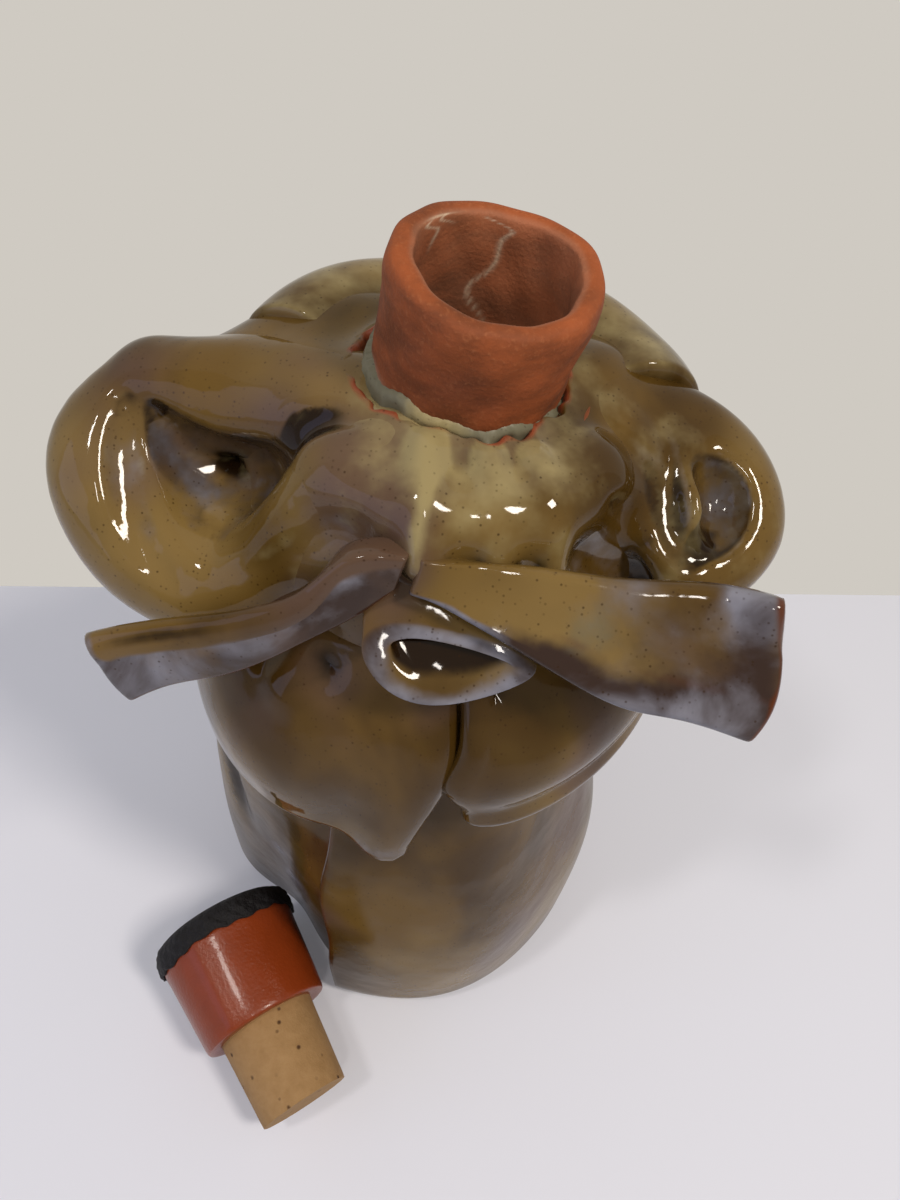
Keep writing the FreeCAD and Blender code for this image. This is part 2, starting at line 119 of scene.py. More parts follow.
def olive_glaze(name, gloss, shine):
    """Runny wood-ash glaze over red clay, fired glossy: olive to amber where it is thin, milky lilac where it
    has pooled, cream by the neck, rust on the edges, and peppered with iron specks, with painted shade darkened
    into folds, pockets and hollows. Gloss is its roughness where it is whole and shine its specular level. The
    marks are shares on the piece, with edges broken by a 7 mm noise."""
    material, tree, shader, place = blank(name, IOR=1.52, Specular_IOR_Level=shine)
    marks = {mark: add(tree, "ShaderNodeAttribute", attribute_name=mark).outputs["Fac"]
             for mark in ("cream", "lilac", "rust", "painted_shade", "torn", "moss")}
    drip = add(tree, "ShaderNodeMapping", {"Vector": place, "Scale": (1, 1, 0.6)}).outputs[0]
    aside = add(tree, "ShaderNodeMapping", {"Vector": place, "Location": (0.31, 0.17, 0.23)}).outputs[0]
    cloud = add(tree, "ShaderNodeTexNoise", {"Vector": place, "Scale": per_mm(48), "Detail": 2.0,
                                             "Roughness": 0.45}).outputs["Fac"]
    mist = add(tree, "ShaderNodeTexNoise", {"Vector": aside, "Scale": per_mm(36), "Detail": 2.0,
                                            "Roughness": 0.5}).outputs["Fac"]
    run = add(tree, "ShaderNodeTexNoise", {"Vector": drip, "Scale": per_mm(24), "Detail": 3.0, "Roughness": 0.5,
                                           "Distortion": 0.3}).outputs["Fac"]
    ragged = add(tree, "ShaderNodeTexNoise", {"Vector": place, "Scale": per_mm(7), "Detail": 3.0,
                                              "Roughness": 0.55}).outputs["Fac"]
    fleck = add(tree, "ShaderNodeTexNoise", {"Vector": place, "Scale": per_mm(2.2), "Detail": 2.0}).outputs["Fac"]
    deep = add(tree, "ShaderNodeMapRange", {"Value": run, "From Min": 0.34, "From Max": 0.66},
               interpolation_type="SMOOTHSTEP").outputs[0]
    glaze = add(tree, "ShaderNodeMix", {0: deep, 6: linear("#3f2c0e"), 7: linear("#624a1f")},
                data_type="RGBA").outputs[2]
    pale = add(tree, "ShaderNodeMapRange", {"Value": cloud, "From Min": 0.46, "From Max": 0.7, "To Max": 0.75},
               interpolation_type="SMOOTHSTEP").outputs[0]
    haze = add(tree, "ShaderNodeMapRange", {"Value": mist, "From Min": 0.5, "From Max": 0.66, "To Max": 0.62},
               interpolation_type="SMOOTHSTEP").outputs[0]
    for share, colour in ((pale, "#836c40"), (haze, "#54413e")):
        glaze = add(tree, "ShaderNodeMix", {0: share, 6: glaze, 7: linear(colour)}, data_type="RGBA").outputs[2]
    broken = add(tree, "ShaderNodeMapRange", {"Value": ragged, "From Min": 0.2, "From Max": 0.8, "To Min": -0.22,
                                              "To Max": 0.22}).outputs[0]
    milk = add(tree, "ShaderNodeTexNoise", {"Vector": place, "Scale": per_mm(16), "Detail": 5.0, "Roughness": 0.5,
                                            "Distortion": 0.6}).outputs["Fac"]
    milk = add(tree, "ShaderNodeMapRange", {"Value": milk, "From Min": 0.36, "From Max": 0.66},
               interpolation_type="SMOOTHSTEP").outputs[0]
    milky = add(tree, "ShaderNodeMix", {0: milk, 6: linear("#33251f"), 7: linear("#7d7d88")},
                data_type="RGBA").outputs[2]
    # The painted-shade mark takes the glaze nearly to black where shade falls in folds, pockets, recesses and under
    # the bow.
    tints = (("painted_shade", linear("#1f1307")), ("lilac", milky), ("moss", linear("#6c6854")),
             ("cream", linear("#92845c")), ("rust", linear("#54290f")), ("torn", linear("#86432a")))
    for mark, colour in tints:
        reach = add(tree, "ShaderNodeMath", {0: marks[mark], 1: broken}, operation="ADD").outputs[0]
        share = add(tree, "ShaderNodeMapRange", {"Value": reach, "From Min": 0.2, "From Max": 0.8},
                    interpolation_type="SMOOTHSTEP").outputs[0]
        glaze = add(tree, "ShaderNodeMix", {0: share, 6: glaze, 7: colour}, data_type="RGBA").outputs[2]
    iron = add(tree, "ShaderNodeTexVoronoi", {"Vector": place, "Scale": per_mm(0.9), "Randomness": 1.0})
    spot = add(tree, "ShaderNodeMapRange", {"Value": iron.outputs["Distance"], "From Min": 0.30,
                                            "From Max": 0.10}).outputs[0]
    some = add(tree, "ShaderNodeSeparateColor", {"Color": iron.outputs["Color"]}).outputs[0]
    some = add(tree, "ShaderNodeMapRange", {"Value": some, "From Min": 0.5, "From Max": 1.0,
                                            "To Max": 0.75}).outputs[0]
    spot = add(tree, "ShaderNodeMath", {0: spot, 1: some}, operation="MULTIPLY", use_clamp=True).outputs[0]
    glaze = add(tree, "ShaderNodeMix", {0: spot, 6: glaze, 7: linear("#2e1b06")}, data_type="RGBA").outputs[2]
    tree.links.new(glaze, shader.inputs["Base Color"])
    raw = add(tree, "ShaderNodeMath", {0: marks["torn"], 1: marks["moss"]}, operation="MAXIMUM").outputs[0]
    dull = add(tree, "ShaderNodeMapRange", {"Value": raw, "To Min": gloss, "To Max": 0.5}).outputs[0]
    tree.links.new(dull, shader.inputs["Roughness"])
    swell = add(tree, "ShaderNodeTexNoise", {"Vector": place, "Scale": per_mm(9), "Detail": 2.0,
                                             "Roughness": 0.4}).outputs["Fac"]
    pits = add(tree, "ShaderNodeMath", {0: fleck, 1: 0.05}, operation="MULTIPLY").outputs[0]
    height = add(tree, "ShaderNodeMath", {0: swell, 1: pits}, operation="ADD").outputs[0]
    bump = add(tree, "ShaderNodeBump", {"Height": height, "Strength": 0.35, "Distance": 0.0010}).outputs[0]
    tree.links.new(bump, shader.inputs["Normal"])
    return material


def through(points, at):
    """Points on the smooth line through the given points, at shares 0 to 1 of its run: each gap is a cubic whose
    end slopes are half the step between the neighbours on both sides."""
    points = np.asarray(points, float)
    slope = np.gradient(points, axis=0)
    run = np.clip(at, 0, 1) * (len(points) - 1)
    gap = np.minimum(run.astype(int), len(points) - 2)
    t = (run - gap).reshape(run.shape + (1,) * (points.ndim - 1))
    start, end = points[gap], points[gap + 1]
    return ((1 + 2 * t) * (1 - t) ** 2 * start + t * (1 - t) ** 2 * slope[gap]
            + t * t * (3 - 2 * t) * end + t * t * (t - 1) * slope[gap + 1])


def hump(value, middle, spread):
    """A bell of height 1 at the middle, fallen to a third at the spread."""
    return np.exp(-((value - middle) / spread) ** 2)


def ease(value, low, high):
    """0 below low, 1 above high and a smooth step between them."""
    t = np.clip((value - low) / (high - low), 0, 1)
    return t * t * (3 - 2 * t)


def skin(name, grid, finish, node, body, marks=None, ring=(False, True), poles=False):
    """Makes a piece of a grid of points in millimetres, rows by columns. Ring says which of the two directions
    close on themselves, and poles puts a point at the middle of the first and last row. Marks are shares on the
    grid, kept as attributes that the materials read."""
    rows, columns = grid.shape[:2]
    index = np.arange(rows * columns).reshape(rows, columns)
    if ring[0]:
        index = np.vstack([index, index[:1]])
    if ring[1]:
        index = np.hstack([index, index[:, :1]])
    faces = np.stack([index[:-1, :-1], index[:-1, 1:], index[1:, 1:], index[1:, :-1]], -1).reshape(-1, 4).tolist()
    points = grid.reshape(-1, 3)
    if poles:
        points = np.vstack([points, grid[0].mean(0), grid[-1].mean(0)])
        foot = np.full(columns, rows * columns)
        faces += np.stack([foot, index[0, 1:], index[0, :-1]], -1).tolist()
        faces += np.stack([foot + 1, index[-1, :-1], index[-1, 1:]], -1).tolist()
    mesh = bpy.data.meshes.new(name)
    mesh.from_pydata((points / 1000).tolist(), [], faces)
    for mark, values in (marks or {}).items():
        shares = np.zeros(len(points), np.float32)
        shares[:rows * columns] = np.broadcast_to(values, (rows, columns)).ravel()
        mesh.attributes.new(mark, "FLOAT", "POINT").data.foreach_set("value", shares)
    shell = bmesh.new()
    shell.from_mesh(mesh)
    bmesh.ops.remove_doubles(shell, verts=shell.verts, dist=2e-6)
    bmesh.ops.recalc_face_normals(shell, faces=shell.faces)
    shell.to_mesh(mesh)
    shell.free()
    dressed(name, mesh, finish, node, body)


def dressed(name, mesh, finish, node, body):
    """Puts a finished mesh in the scene as the piece that stands for a node."""
    mesh.shade_smooth()
    mesh.materials.append(finish)
    piece = bpy.data.objects.new(name, mesh)
    bpy.context.scene.collection.objects.link(piece)
    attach(piece, body)
    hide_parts(node)


ash_glaze = olive_glaze("olive_ash_glaze", 0.06, 0.24)
thin_glaze = olive_glaze("thin_olive_ash_glaze", 0.22, 0.13)
SKIRT_HEIGHT = 118.0
SKIRT_HALF_WIDTH, SKIRT_HALF_DEPTH = 51.0, 46.0
SKIRT_WALL = 5.0
SKIRT_LEVELS = [0.0, 0.07, 0.36, 0.66, 0.86, 1.0]
SKIRT_LEAN = 1.5
LAP_ANGLE = 253.0
LAP_STEP = 3.6
HOLLOW_DEPTH, HOLLOW_TURN = 12.0, 330
FOLD_DEPTH, FOLD_COUNT = 1.4, 5
FOOT_ROUND, LAP_ROUND = 2.2, 0.9


def skirt_radius(turn, share):
    """Outer radius: an oval, swollen by height, less the hollow beside the lap, plus soft upright folds and the
    lapped layer, which thins out over half a turn. Then a ridge and a groove beside the hollow, a valley right of
    the lap, and the narrower right side. Turn is in degrees from the lap and share is of the height."""
    angle = np.radians(LAP_ANGLE + turn)

    def at(values):
        fine = np.interp(share, SKIRT_LEVELS, np.linspace(0, 1, len(SKIRT_LEVELS)))
        return through(np.array(values), fine)

    radius = np.hypot(SKIRT_HALF_WIDTH * np.cos(angle), SKIRT_HALF_DEPTH * np.sin(angle))
    radius = radius * at([0.95, 0.995, 1.0, 0.91, 0.82, 0.77])
    radius = radius - HOLLOW_DEPTH * at([1.0, 1.0, 0.8, 0.3, 0.1, 0.0]) * hump(turn, HOLLOW_TURN, 24)
    radius = radius - FOLD_DEPTH * at([0.3, 0.5, 1.0, 1.0, 0.8, 0.5]) * np.cos(np.radians(FOLD_COUNT * turn))
    radius = radius + LAP_STEP * (1 - ease(turn, 0, 170))
    radius = radius + 1.6 * hump(turn, 296, 9) * hump(share, 0.62, 0.16)
    radius = radius - 2.4 * hump(turn, 314 - 26 * (share - 0.6), 5) * hump(share, 0.6, 0.13)
    radius = radius - 2.2 * hump(turn, 34 - 18 * share, 10) * ease(share, 0.15, 0.7)
    radius = radius - 4.0 * hump(turn, 105, 40) * hump(share, 0.7, 0.3)
    return radius


turn = np.concatenate([[0, 0.25, 0.8], np.linspace(2, 358, 250), [359.2, 359.75, 360]])
share = np.concatenate([[0, 0.004, 0.012], np.linspace(0.025, 1.0, 100)])
wall_turn, wall_share = np.meshgrid(turn, share)
edge_round = FOOT_ROUND * (1 - ease(wall_share, 0, 0.02))
lap_round = LAP_ROUND * hump(wall_turn, 0, 0.5)
outer = skirt_radius(wall_turn, wall_share) - edge_round - lap_round
wave = 1.8 * np.sin(wall_share * 7.0 + 0.5) + 0.7 * np.sin(wall_share * 19.0 + 1.0)
angle = np.radians(LAP_ANGLE + wall_turn + wave * (1 - ease(np.minimum(wall_turn, 360 - wall_turn), 0, 60)))
lean = SKIRT_LEAN * wall_share
outside = np.stack([lean + outer * np.cos(angle), outer * np.sin(angle), SKIRT_HEIGHT * wall_share], -1)
inner = np.minimum(outer, np.roll(outer, 40, 1)) - SKIRT_WALL
inside = np.stack([lean + inner * np.cos(angle), inner * np.sin(angle), SKIRT_HEIGHT * wall_share], -1)
skirt_marks = {
    "rust": 0.45 * hump(wall_turn, 360, 3) + 0.45 * hump(wall_turn, 0, 2) + 0.4 * (1 - ease(wall_share, 0, 0.03)),
    "lilac": 0.55 * hump(wall_turn, 338, 12) * (1 - ease(wall_share, 0.3, 0.75)) + 0.25 * hump(wall_turn, 296, 18),
    # painted shade in the crease beside the hollow and across the recess where the stopper lies
    "painted_shade": (0.7 * hump(wall_turn, 314 - 26 * (wall_share - 0.6), 5) * hump(wall_share, 0.6, 0.13)
               + 0.4 * hump(wall_turn, 322, 26)),
}
skirt_marks = {mark: np.vstack([values, 0 * values]) for mark, values in skirt_marks.items()}
skin("glazed_skirt", np.vstack([outside, inside[::-1]]), thin_glaze, "skirt_wall", "bottle",
     skirt_marks, ring=(True, True))

# Neck: a thick ring of red earthenware, left bare, wiped smooth outside and run with pale slip inside.
# It is luted on the torso wall and leans to the right, and its mouth was squeezed a little out of round while wet.
NECK_FOOT = np.array([7.0, 2.0, 175.0])
NECK_RADIUS, NECK_BORE, NECK_LENGTH = 16.2, 12.6, 22.5
LEAN, NOD = np.radians(8.0), np.radians(3.5)
NECK_TURN = np.array(Matrix.Rotation(LEAN, 3, "Y") @ Matrix.Rotation(NOD, 3, "X"))
around, along = np.meshgrid(np.linspace(0, 2 * np.pi, 160, endpoint=False), np.linspace(0, 1, 96))
lip = (NECK_RADIUS - NECK_BORE) / 2
profile = through([
    [NECK_RADIUS - 0.6, -3.0], [NECK_RADIUS - 0.5, 2.0], [NECK_RADIUS - 0.5, 8.0], [NECK_RADIUS - 0.1, 14.0],
    [NECK_RADIUS + 0.3, 19.0], [NECK_RADIUS + 0.15, 21.0], [NECK_RADIUS - 0.5, 22.1],
    [NECK_RADIUS - lip, NECK_LENGTH], [NECK_BORE + 0.5, 22.1], [NECK_BORE, 21.2], [NECK_BORE - 0.1, 18.5],
    [NECK_BORE, 10.0], [NECK_BORE, 2.0], [NECK_BORE + 0.1, -3.0]], along)
reach, rise = profile[..., 0], profile[..., 1]
squeeze = ease(rise, 4, 22)
reach = reach + squeeze * (0.5 * np.cos(around - 0.25) ** 3 - 0.35 * np.cos(2 * around + 0.6))
reach = reach + 0.22 * np.sin(5 * around + rise * 0.22) * np.sin(rise * 0.35 + 1.0)
reach = reach + 0.12 * np.sin(11 * around - rise * 0.5)
rise = rise + squeeze * (0.45 * np.sin(2 * around + 0.9) + 0.25 * np.sin(3 * around))
neck_local = np.stack([reach * np.cos(around), reach * np.sin(around), rise], -1)
bore_side = ease(along, 0.56, 0.62)
sway = 0.10 * np.sin(along * 31) + 0.05 * np.sin(along * 67)
drips = (hump(around, 2.55 + sway, 0.035) * ease(along, 0.62, 0.66) * (1 - ease(along, 0.76, 0.8))
         + hump(around, 2.25 + sway, 0.03) * ease(along, 0.62, 0.65) * (1 - ease(along, 0.70, 0.74))
         + hump(along, 0.625 + 0.01 * np.sin(9 * around), 0.012) * hump(around, 2.4, 0.2)
         + hump(around, 1.55 + 1.4 * sway, 0.03) * ease(along, 0.66, 0.70) * (1 - ease(along, 0.9, 0.94)))
tide = 3.2 + 1.2 * np.sin(3 * around + 1.5) + 2.4 * hump(around, 3.5, 0.35)
dark_band = hump(rise, 11 + 1.5 * np.sin(around * 2), 5) * (0.6 + 0.4 * np.sin(3 * around))
# Painted shade darkens the bore towards its foot, and a darker band runs round the middle of the outside.
neck_marks = {
    "slip": np.clip(0.7 * drips + 0.10 * bore_side + (1 - bore_side) * 0.75 * (1 - ease(rise, 1.2, tide)), 0, 1),
    "bore_shade_and_dark_band": np.clip(0.5 * bore_side * ease(along, 0.72, 1.0) + 0.4 * (1 - bore_side) * dark_band, 0, 1),
}
neck_clay = earthenware("wiped_red_earthenware", "#9a4d20", "#64300c", 0.7, 2.4)
skin("bare_neck", neck_local @ NECK_TURN.T + NECK_FOOT, neck_clay, "neck_ring", "bottle",
     neck_marks, ring=(True, True))

# Smock body and sleeves: rolled slabs draped over the torso and gathered into soft rolls while wet, then luted
# at the seams and glazed over. The field of each is the distance to its rolls, melted into one another.


def roll_of_clay(points, line):
    """Distance to a roll: the least over the straight runs between its points (x, y, z, radius) of the distance to
    the run less its radius there. With t the share of the run, the distance squared is |p|2 - 2 p.q + |q|2, where
    q is the run's point at t."""
    start, run = line[:-1, :3] - MIDDLE, np.diff(line[:, :3], axis=0)
    points = points - MIDDLE
    on_start, on_run = points @ start.T, points @ run.T
    length, lean = (run * run).sum(1), (start * run).sum(1)
    t = np.clip((on_run - lean) / length, 0, 1)
    squared = ((points * points).sum(-1)[..., None] - 2 * (on_start + t * on_run)
               + (start * start).sum(1) + t * (2 * lean + t * length))
    return (np.sqrt(np.maximum(squared, 0)) - line[:-1, 3] - t * np.diff(line[:, 3])).min(-1)


def melted(points, rolls, softness):
    """Soft least distance to several rolls, -k log(sum exp(-d / k))."""
    near = np.stack([roll_of_clay(points, roll) for roll in rolls])
    least = near.min(0)
    return least - softness * np.log(np.exp((least - near) / softness).sum(0))


def bent(rolls):
    """The same rolls bent smoothly, each gap between their points cut into four short runs."""
    return [through(roll, np.linspace(0, 1, 4 * len(roll) - 3)).astype(np.float32) for roll in rolls]


def lumps(points):
    """Low, uneven pressing of the fingers: a sum of three slow waves."""
    x, y, z = np.moveaxis(points, -1, 0)
    return (0.40 * np.sin(x / 7.1 + y / 9.0) * np.sin(z / 8.3 + 0.6) + 0.30 * np.sin(y / 6.2 - z / 9.1 + 1.1)
            + 0.20 * np.sin(x / 4.9 + z / 5.3) * np.sin(y / 5.7))


MIDDLE = np.array([0, 0, 150], np.float32)
SEAM_SOFTNESS = 1.3
BODY_ROLLS = [
    [(3, 1, 96, 39), (4, 1, 122, 38), (6, 1.8, 145, 36.5)],
    [(-15, -8, 168, 7), (-9, -17, 168.5, 6.5), (0, -22, 168.5, 6), (10, -23, 168.5, 6), (20, -20, 168.5, 6.5),
     (28, -11, 168, 7.5)],
    [(-17, 0, 167, 8.5), (-17, 12, 167, 9.5), (-9, 20, 167, 9.5), (4, 24, 167, 9), (18, 22, 167, 9),
     (28, 11, 167, 9)],
    [(2.5, -17, 177, 2.2), (3, -24, 172.5, 2.8), (4, -31, 166, 3.0)],
    [(12, -17.5, 176.5, 1.8), (14, -25, 171, 2.2), (15, -29, 166, 2.2)],
    [(19, -16, 176, 1.8), (22, -23, 170, 2.2), (24, -27, 163, 2.2)],
    [(-31, 13, 160, 11), (-23, 16.5, 164.5, 11), (-14, 19, 167.5, 9)],
    [(29, 16, 168, 6), (36, 20, 163, 8), (39, 15, 157, 8)],
    [(25, 8, 172.5, 4), (30, 13, 171.5, 3.5)],
]
LEFT_ROLLS = [
    [(-46, 6.5, 163, 8.6), (-38, 5.5, 163.5, 9.4), (-29, 4, 164.5, 9.8), (-20, 1, 166.5, 9.8), (-12, -2, 168.5, 9)],
    [(-46, 6, 159, 10.5), (-52, 1, 156, 11.5), (-52, -6, 150.5, 11.8), (-47, -12.5, 144.5, 11.2),
     (-39, -16, 140.5, 10.5), (-30, -17.5, 141, 9.5), (-23, -18, 146.5, 8.8), (-18, -17.5, 154, 8.2),
     (-13, -16, 163, 7.6), (-7.5, -14.5, 169, 7), (-2, -12.5, 171, 6.5)],
    [(-44, -1, 146, 11), (-36, -2, 142, 11), (-28, -5, 142, 11)],
]
LEFT_DIMPLES = [
    [(-44.5, -3.0, 165.5, 1.5), (-40.5, -5.5, 161.5, 4.2), (-34, -7.5, 158, 6.2), (-27, -9.2, 159.5, 5.8),
     (-21.5, -12.4, 166, 2.8), (-17.5, -11.5, 172.4, 2.2), (-12.5, -11.5, 175.8, 1.6), (-7, -12.5, 178, 0.8)],
    [(-49, -3, 167, 1.6), (-48, -9.0, 162.6, 3.2), (-46, -16.5, 157.2, 3.6), (-43, -22.5, 151.8, 3.2),
     (-38, -25.5, 147.5, 1.8)],
    [(-27, -25.5, 151.5, 1.0), (-20, -26.5, 157.5, 2.2), (-12, -27, 165, 2.2), (-7, -27, 169, 1.0)],
]
RIGHT_ROLLS = [
    [(28, 7, 166.5, 8), (41, 8, 165, 8), (48.5, 5, 163.5, 8), (53.5, 0, 160.5, 8.2), (55.5, -6, 157, 8),
     (53.5, -12, 154.5, 7.2), (49, -16, 153, 6)],
    [(40, 3, 166.5, 4), (44.5, -2.2, 167, 3.6), (46.3, -10, 164.6, 3.3), (46.8, -15.8, 159.6, 3.3),
     (46.5, -18, 155, 3.2)],
    [(31, 1, 168.5, 5.6), (36, -3, 167, 5), (38.5, -10, 163, 4.6), (42, -15.5, 158.5, 4.2), (45.5, -17.5, 154, 4)],
    [(25, -11, 168, 6.2), (30, -11, 164.5, 6), (36, -8, 160, 6.5)],
    [(36, 2, 155, 11), (45, 0, 152, 12)],
    [(46, -2, 146, 12), (38, -4, 144, 12), (30, -6, 144, 12)],
]
RIGHT_DIMPLES = [
    [(46.3, -5.3, 170.0, 1.0), (48.8, -6.6, 168.0, 3.0), (51, -8.6, 165.4, 4.2), (51, -12.2, 162.6, 3.6),
     (48, -16.8, 161.0, 2.0), (46.4, -19.6, 159.6, 1.0)],
    [(38.5, -8, 169.4, 0.8), (40.2, -11.4, 167, 1.7), (42, -14.8, 164.3, 1.8), (43.8, -17.9, 161.7, 1.1)],
    [(32.5, -16.8, 169, 0.8), (36.0, -16.4, 166, 2.0), (38, -17.3, 162.8, 1.5)],
    [(28, -22.5, 163.5, 1.0), (32, -21, 159.5, 2.2), (37, -18.5, 155, 2.6), (41, -17, 151, 2.2)],
]
BODY_ROLLS, LEFT_ROLLS, RIGHT_ROLLS = bent(BODY_ROLLS), bent(LEFT_ROLLS), bent(RIGHT_ROLLS)
LEFT_DIMPLES, RIGHT_DIMPLES = bent(LEFT_DIMPLES), bent(RIGHT_DIMPLES)
VOXEL = 0.0008
BALL_RINGS, BALL_SIDES = 11, 18
SLOPE_STEP = 0.05
SLEEVE_PASSES, SLEEVE_SETTLED = 17, 9
FOLD_LOOK, POCKET_LOOK, RIDGE_LOOK = 3, 9, 8
CREAM_CENTRE = np.array([9.0, -6.0, 178.0])


def cloth_field(own, others, dimples=()):
    """The melted field of a piece and its neighbours, which sinks away where a neighbour is nearer, so that the
    pieces meet on one surface. Dimples are rolls pressed in and taken away."""
    def field(points):
        mine, theirs = melted(points, own, SEAM_SOFTNESS), melted(points, others, SEAM_SOFTNESS)
        both = -SEAM_SOFTNESS * np.logaddexp(-mine / SEAM_SOFTNESS, -theirs / SEAM_SOFTNESS)
        behind = np.maximum(mine - theirs, 0)
        depth = both + 0.75 * behind * behind / (behind + 1.5) - lumps(points)
        for dimple in dimples:
            depth = np.logaddexp(depth, -roll_of_clay(points, dimple))
        return depth
    return field


def slope_of(field, points, depth):
    """The field's slope, by small steps along the three axes."""
    steps = SLOPE_STEP * np.eye(3, dtype=np.float32)
    return np.stack([field(points + step) - depth for step in steps], -1) / SLOPE_STEP


def settled(field, points):
    """Points moved back along the field's slope to where it is zero."""
    depth = field(points)
    slope = slope_of(field, points, depth)
    return points - (depth / np.maximum((slope * slope).sum(-1), 0.25))[..., None] * slope


def glaze_marks(points, field):
    """Marks of the draped slabs. With n the way out, a fold or pocket is where the field some way out along n falls
    short of that way, and a ridge is where the field some way in is less deep than that. Folds and pockets get
    painted shade and milky glaze, and ridges and the parts towards the neck are cream."""
    depth = field(points)
    out = slope_of(field, points, depth)
    out /= np.linalg.norm(out, axis=-1, keepdims=True) + 1e-9
    fold = 1 - (field(points + FOLD_LOOK * out) - depth) / FOLD_LOOK
    pocket = 1 - (field(points + POCKET_LOOK * out) - depth) / POCKET_LOOK
    ridge = 1 + (field(points - RIDGE_LOOK * out) - depth) / RIDGE_LOOK
    x, y, z = np.moveaxis(points, -1, 0)
    from_neck = np.linalg.norm(points - CREAM_CENTRE, axis=-1)
    streak = hump(x, 3.4 + 0.8 * np.sin(z / 3.1), 1.2) * ease(-y, 12, 17) * ease(z, 164, 172)
    return {"painted_shade": 0.5 * ease(fold, 0.1, 0.8) + 0.55 * ease(pocket, 0.12, 0.7),
            "lilac": 0.34 * ease(pocket, 0.02, 0.3) * (1 - ease(fold, 0.2, 0.7)),
            "cream": 0.40 * (1 - ease(from_neck, 13, 27)) + 0.30 * ease(ridge, 0.05, 0.5) + 0.45 * streak}


def melted_piece(name, field, rolls, finish, node, body):
    """A ball carried along every roll, all melted to one skin by the voxel remesh, then evened out and settled on
    the field: each point goes to the mean of its neighbours and back along the field's slope."""
    tilt, spin = np.meshgrid(np.linspace(0, np.pi, BALL_RINGS),
                             np.linspace(0, 2 * np.pi, BALL_SIDES, endpoint=False), indexing="ij")
    ball = np.stack([np.sin(tilt) * np.cos(spin), np.sin(tilt) * np.sin(spin), np.cos(tilt)], -1).reshape(-1, 3)
    index = np.arange(BALL_RINGS * BALL_SIDES).reshape(BALL_RINGS, BALL_SIDES)
    index = np.hstack([index, index[:, :1]])
    quads = np.stack([index[:-1, :-1], index[1:, :-1], index[1:, 1:], index[:-1, 1:]], -1).reshape(-1, 4)
    beads = np.vstack([through(roll, np.linspace(0, 1, 2 * len(roll))) for roll in rolls])
    points = beads[:, None, :3] + beads[:, None, 3:] * ball
    faces = quads + len(ball) * np.arange(len(beads))[:, None, None]
    mesh = bpy.data.meshes.new(name)
    mesh.from_pydata((points.reshape(-1, 3) / 1000).tolist(), [], faces.reshape(-1, 4).tolist())
    lump = bpy.data.objects.new(name + "_lump", mesh)
    bpy.context.scene.collection.objects.link(lump)
    remesh = lump.modifiers.new("melt", "REMESH")
    remesh.voxel_size = VOXEL
    skin_mesh = bpy.data.meshes.new_from_object(lump.evaluated_get(bpy.context.evaluated_depsgraph_get()))
    bpy.data.objects.remove(lump)
    points = np.empty(3 * len(skin_mesh.vertices), np.float32)
    skin_mesh.vertices.foreach_get("co", points)
    points = points.reshape(-1, 3) * 1000
    ends = np.empty(2 * len(skin_mesh.edges), np.int32)
    skin_mesh.edges.foreach_get("vertices", ends)
    one, other = ends.reshape(-1, 2).T
    one, other = np.concatenate([one, other]), np.concatenate([other, one])
    count = np.bincount(one, minlength=len(points))
    for smoothing in range(SLEEVE_PASSES):
        total = np.stack([np.bincount(one, points[other, axis], len(points)) for axis in range(3)], -1)
        points = (0.5 * points + 0.5 * (total / count[:, None])).astype(np.float32)
        if smoothing < SLEEVE_SETTLED:
            points = settled(field, points)
    skin_mesh.vertices.foreach_set("co", (points / 1000).ravel())
    for mark, values in glaze_marks(points, field).items():
        skin_mesh.attributes.new(mark, "FLOAT", "POINT").data.foreach_set("value", values.astype(np.float32))
    skin_mesh.update()
    dressed(name, skin_mesh, finish, node, body)


# The sleeves are closed skins of their own, sunk into the body at the seams.
melted_piece("glazed_left_sleeve", cloth_field(LEFT_ROLLS, BODY_ROLLS, LEFT_DIMPLES), LEFT_ROLLS, ash_glaze,
             "left_sleeve", "bottle")
melted_piece("glazed_right_sleeve", cloth_field(RIGHT_ROLLS, BODY_ROLLS, RIGHT_DIMPLES), RIGHT_ROLLS, ash_glaze,
             "right_sleeve", "bottle")

# The body is found along rays from its heart, from the torn edge round the neck down to under the fronts. Inside
# the edge are the torn clay and the gritty gap that climbs to the neck.
BODY_HEART = np.array([7, 2, 148], np.float32)
TEAR_RISE, LOWEST_RAY = 31.5, np.radians(-38)
FIRST_REACH, REACH_STEPS = 62, 45
BODY_PASSES, BODY_SETTLED = 16, 8
TORN_EDGE = ((-0.4, 0.5), (-1.0, 0.9), (-1.8, 0.8), (-2.2, 1.3))
GRIT_RINGS = ((0.35, 0.3, -1.0), (0.7, 0.3, -0.7), (1.0, 0.3, 0.0), (1.0, -1.6, 0.6))
spin = np.linspace(0, 2 * np.pi, 240, endpoint=False)
bearing = np.degrees(spin)
tear = (1.3 + 2.6 * hump(bearing, 190, 40) + 2.8 * hump(bearing, 287, 8) + 2.2 * hump(bearing, 306, 7)
        + 2.0 * hump(bearing, 340, 16) + 1.2 * hump(bearing, 90, 40)
        + 0.45 * np.sin(13 * spin + 2.0) + 0.35 * np.sin(23 * spin) + 0.2 * np.sin(41 * spin))
tear_reach = NECK_RADIUS + np.maximum(tear, 0.5)
top_tilt = np.arctan2(TEAR_RISE, tear_reach)
fall = np.linspace(0, 1, 120)[:, None]
tilt = top_tilt * (1 - fall) + LOWEST_RAY * fall
rays = np.stack([np.cos(tilt) * np.cos(spin), np.cos(tilt) * np.sin(spin), np.sin(tilt) + 0 * spin], -1)
rays = rays.astype(np.float32)
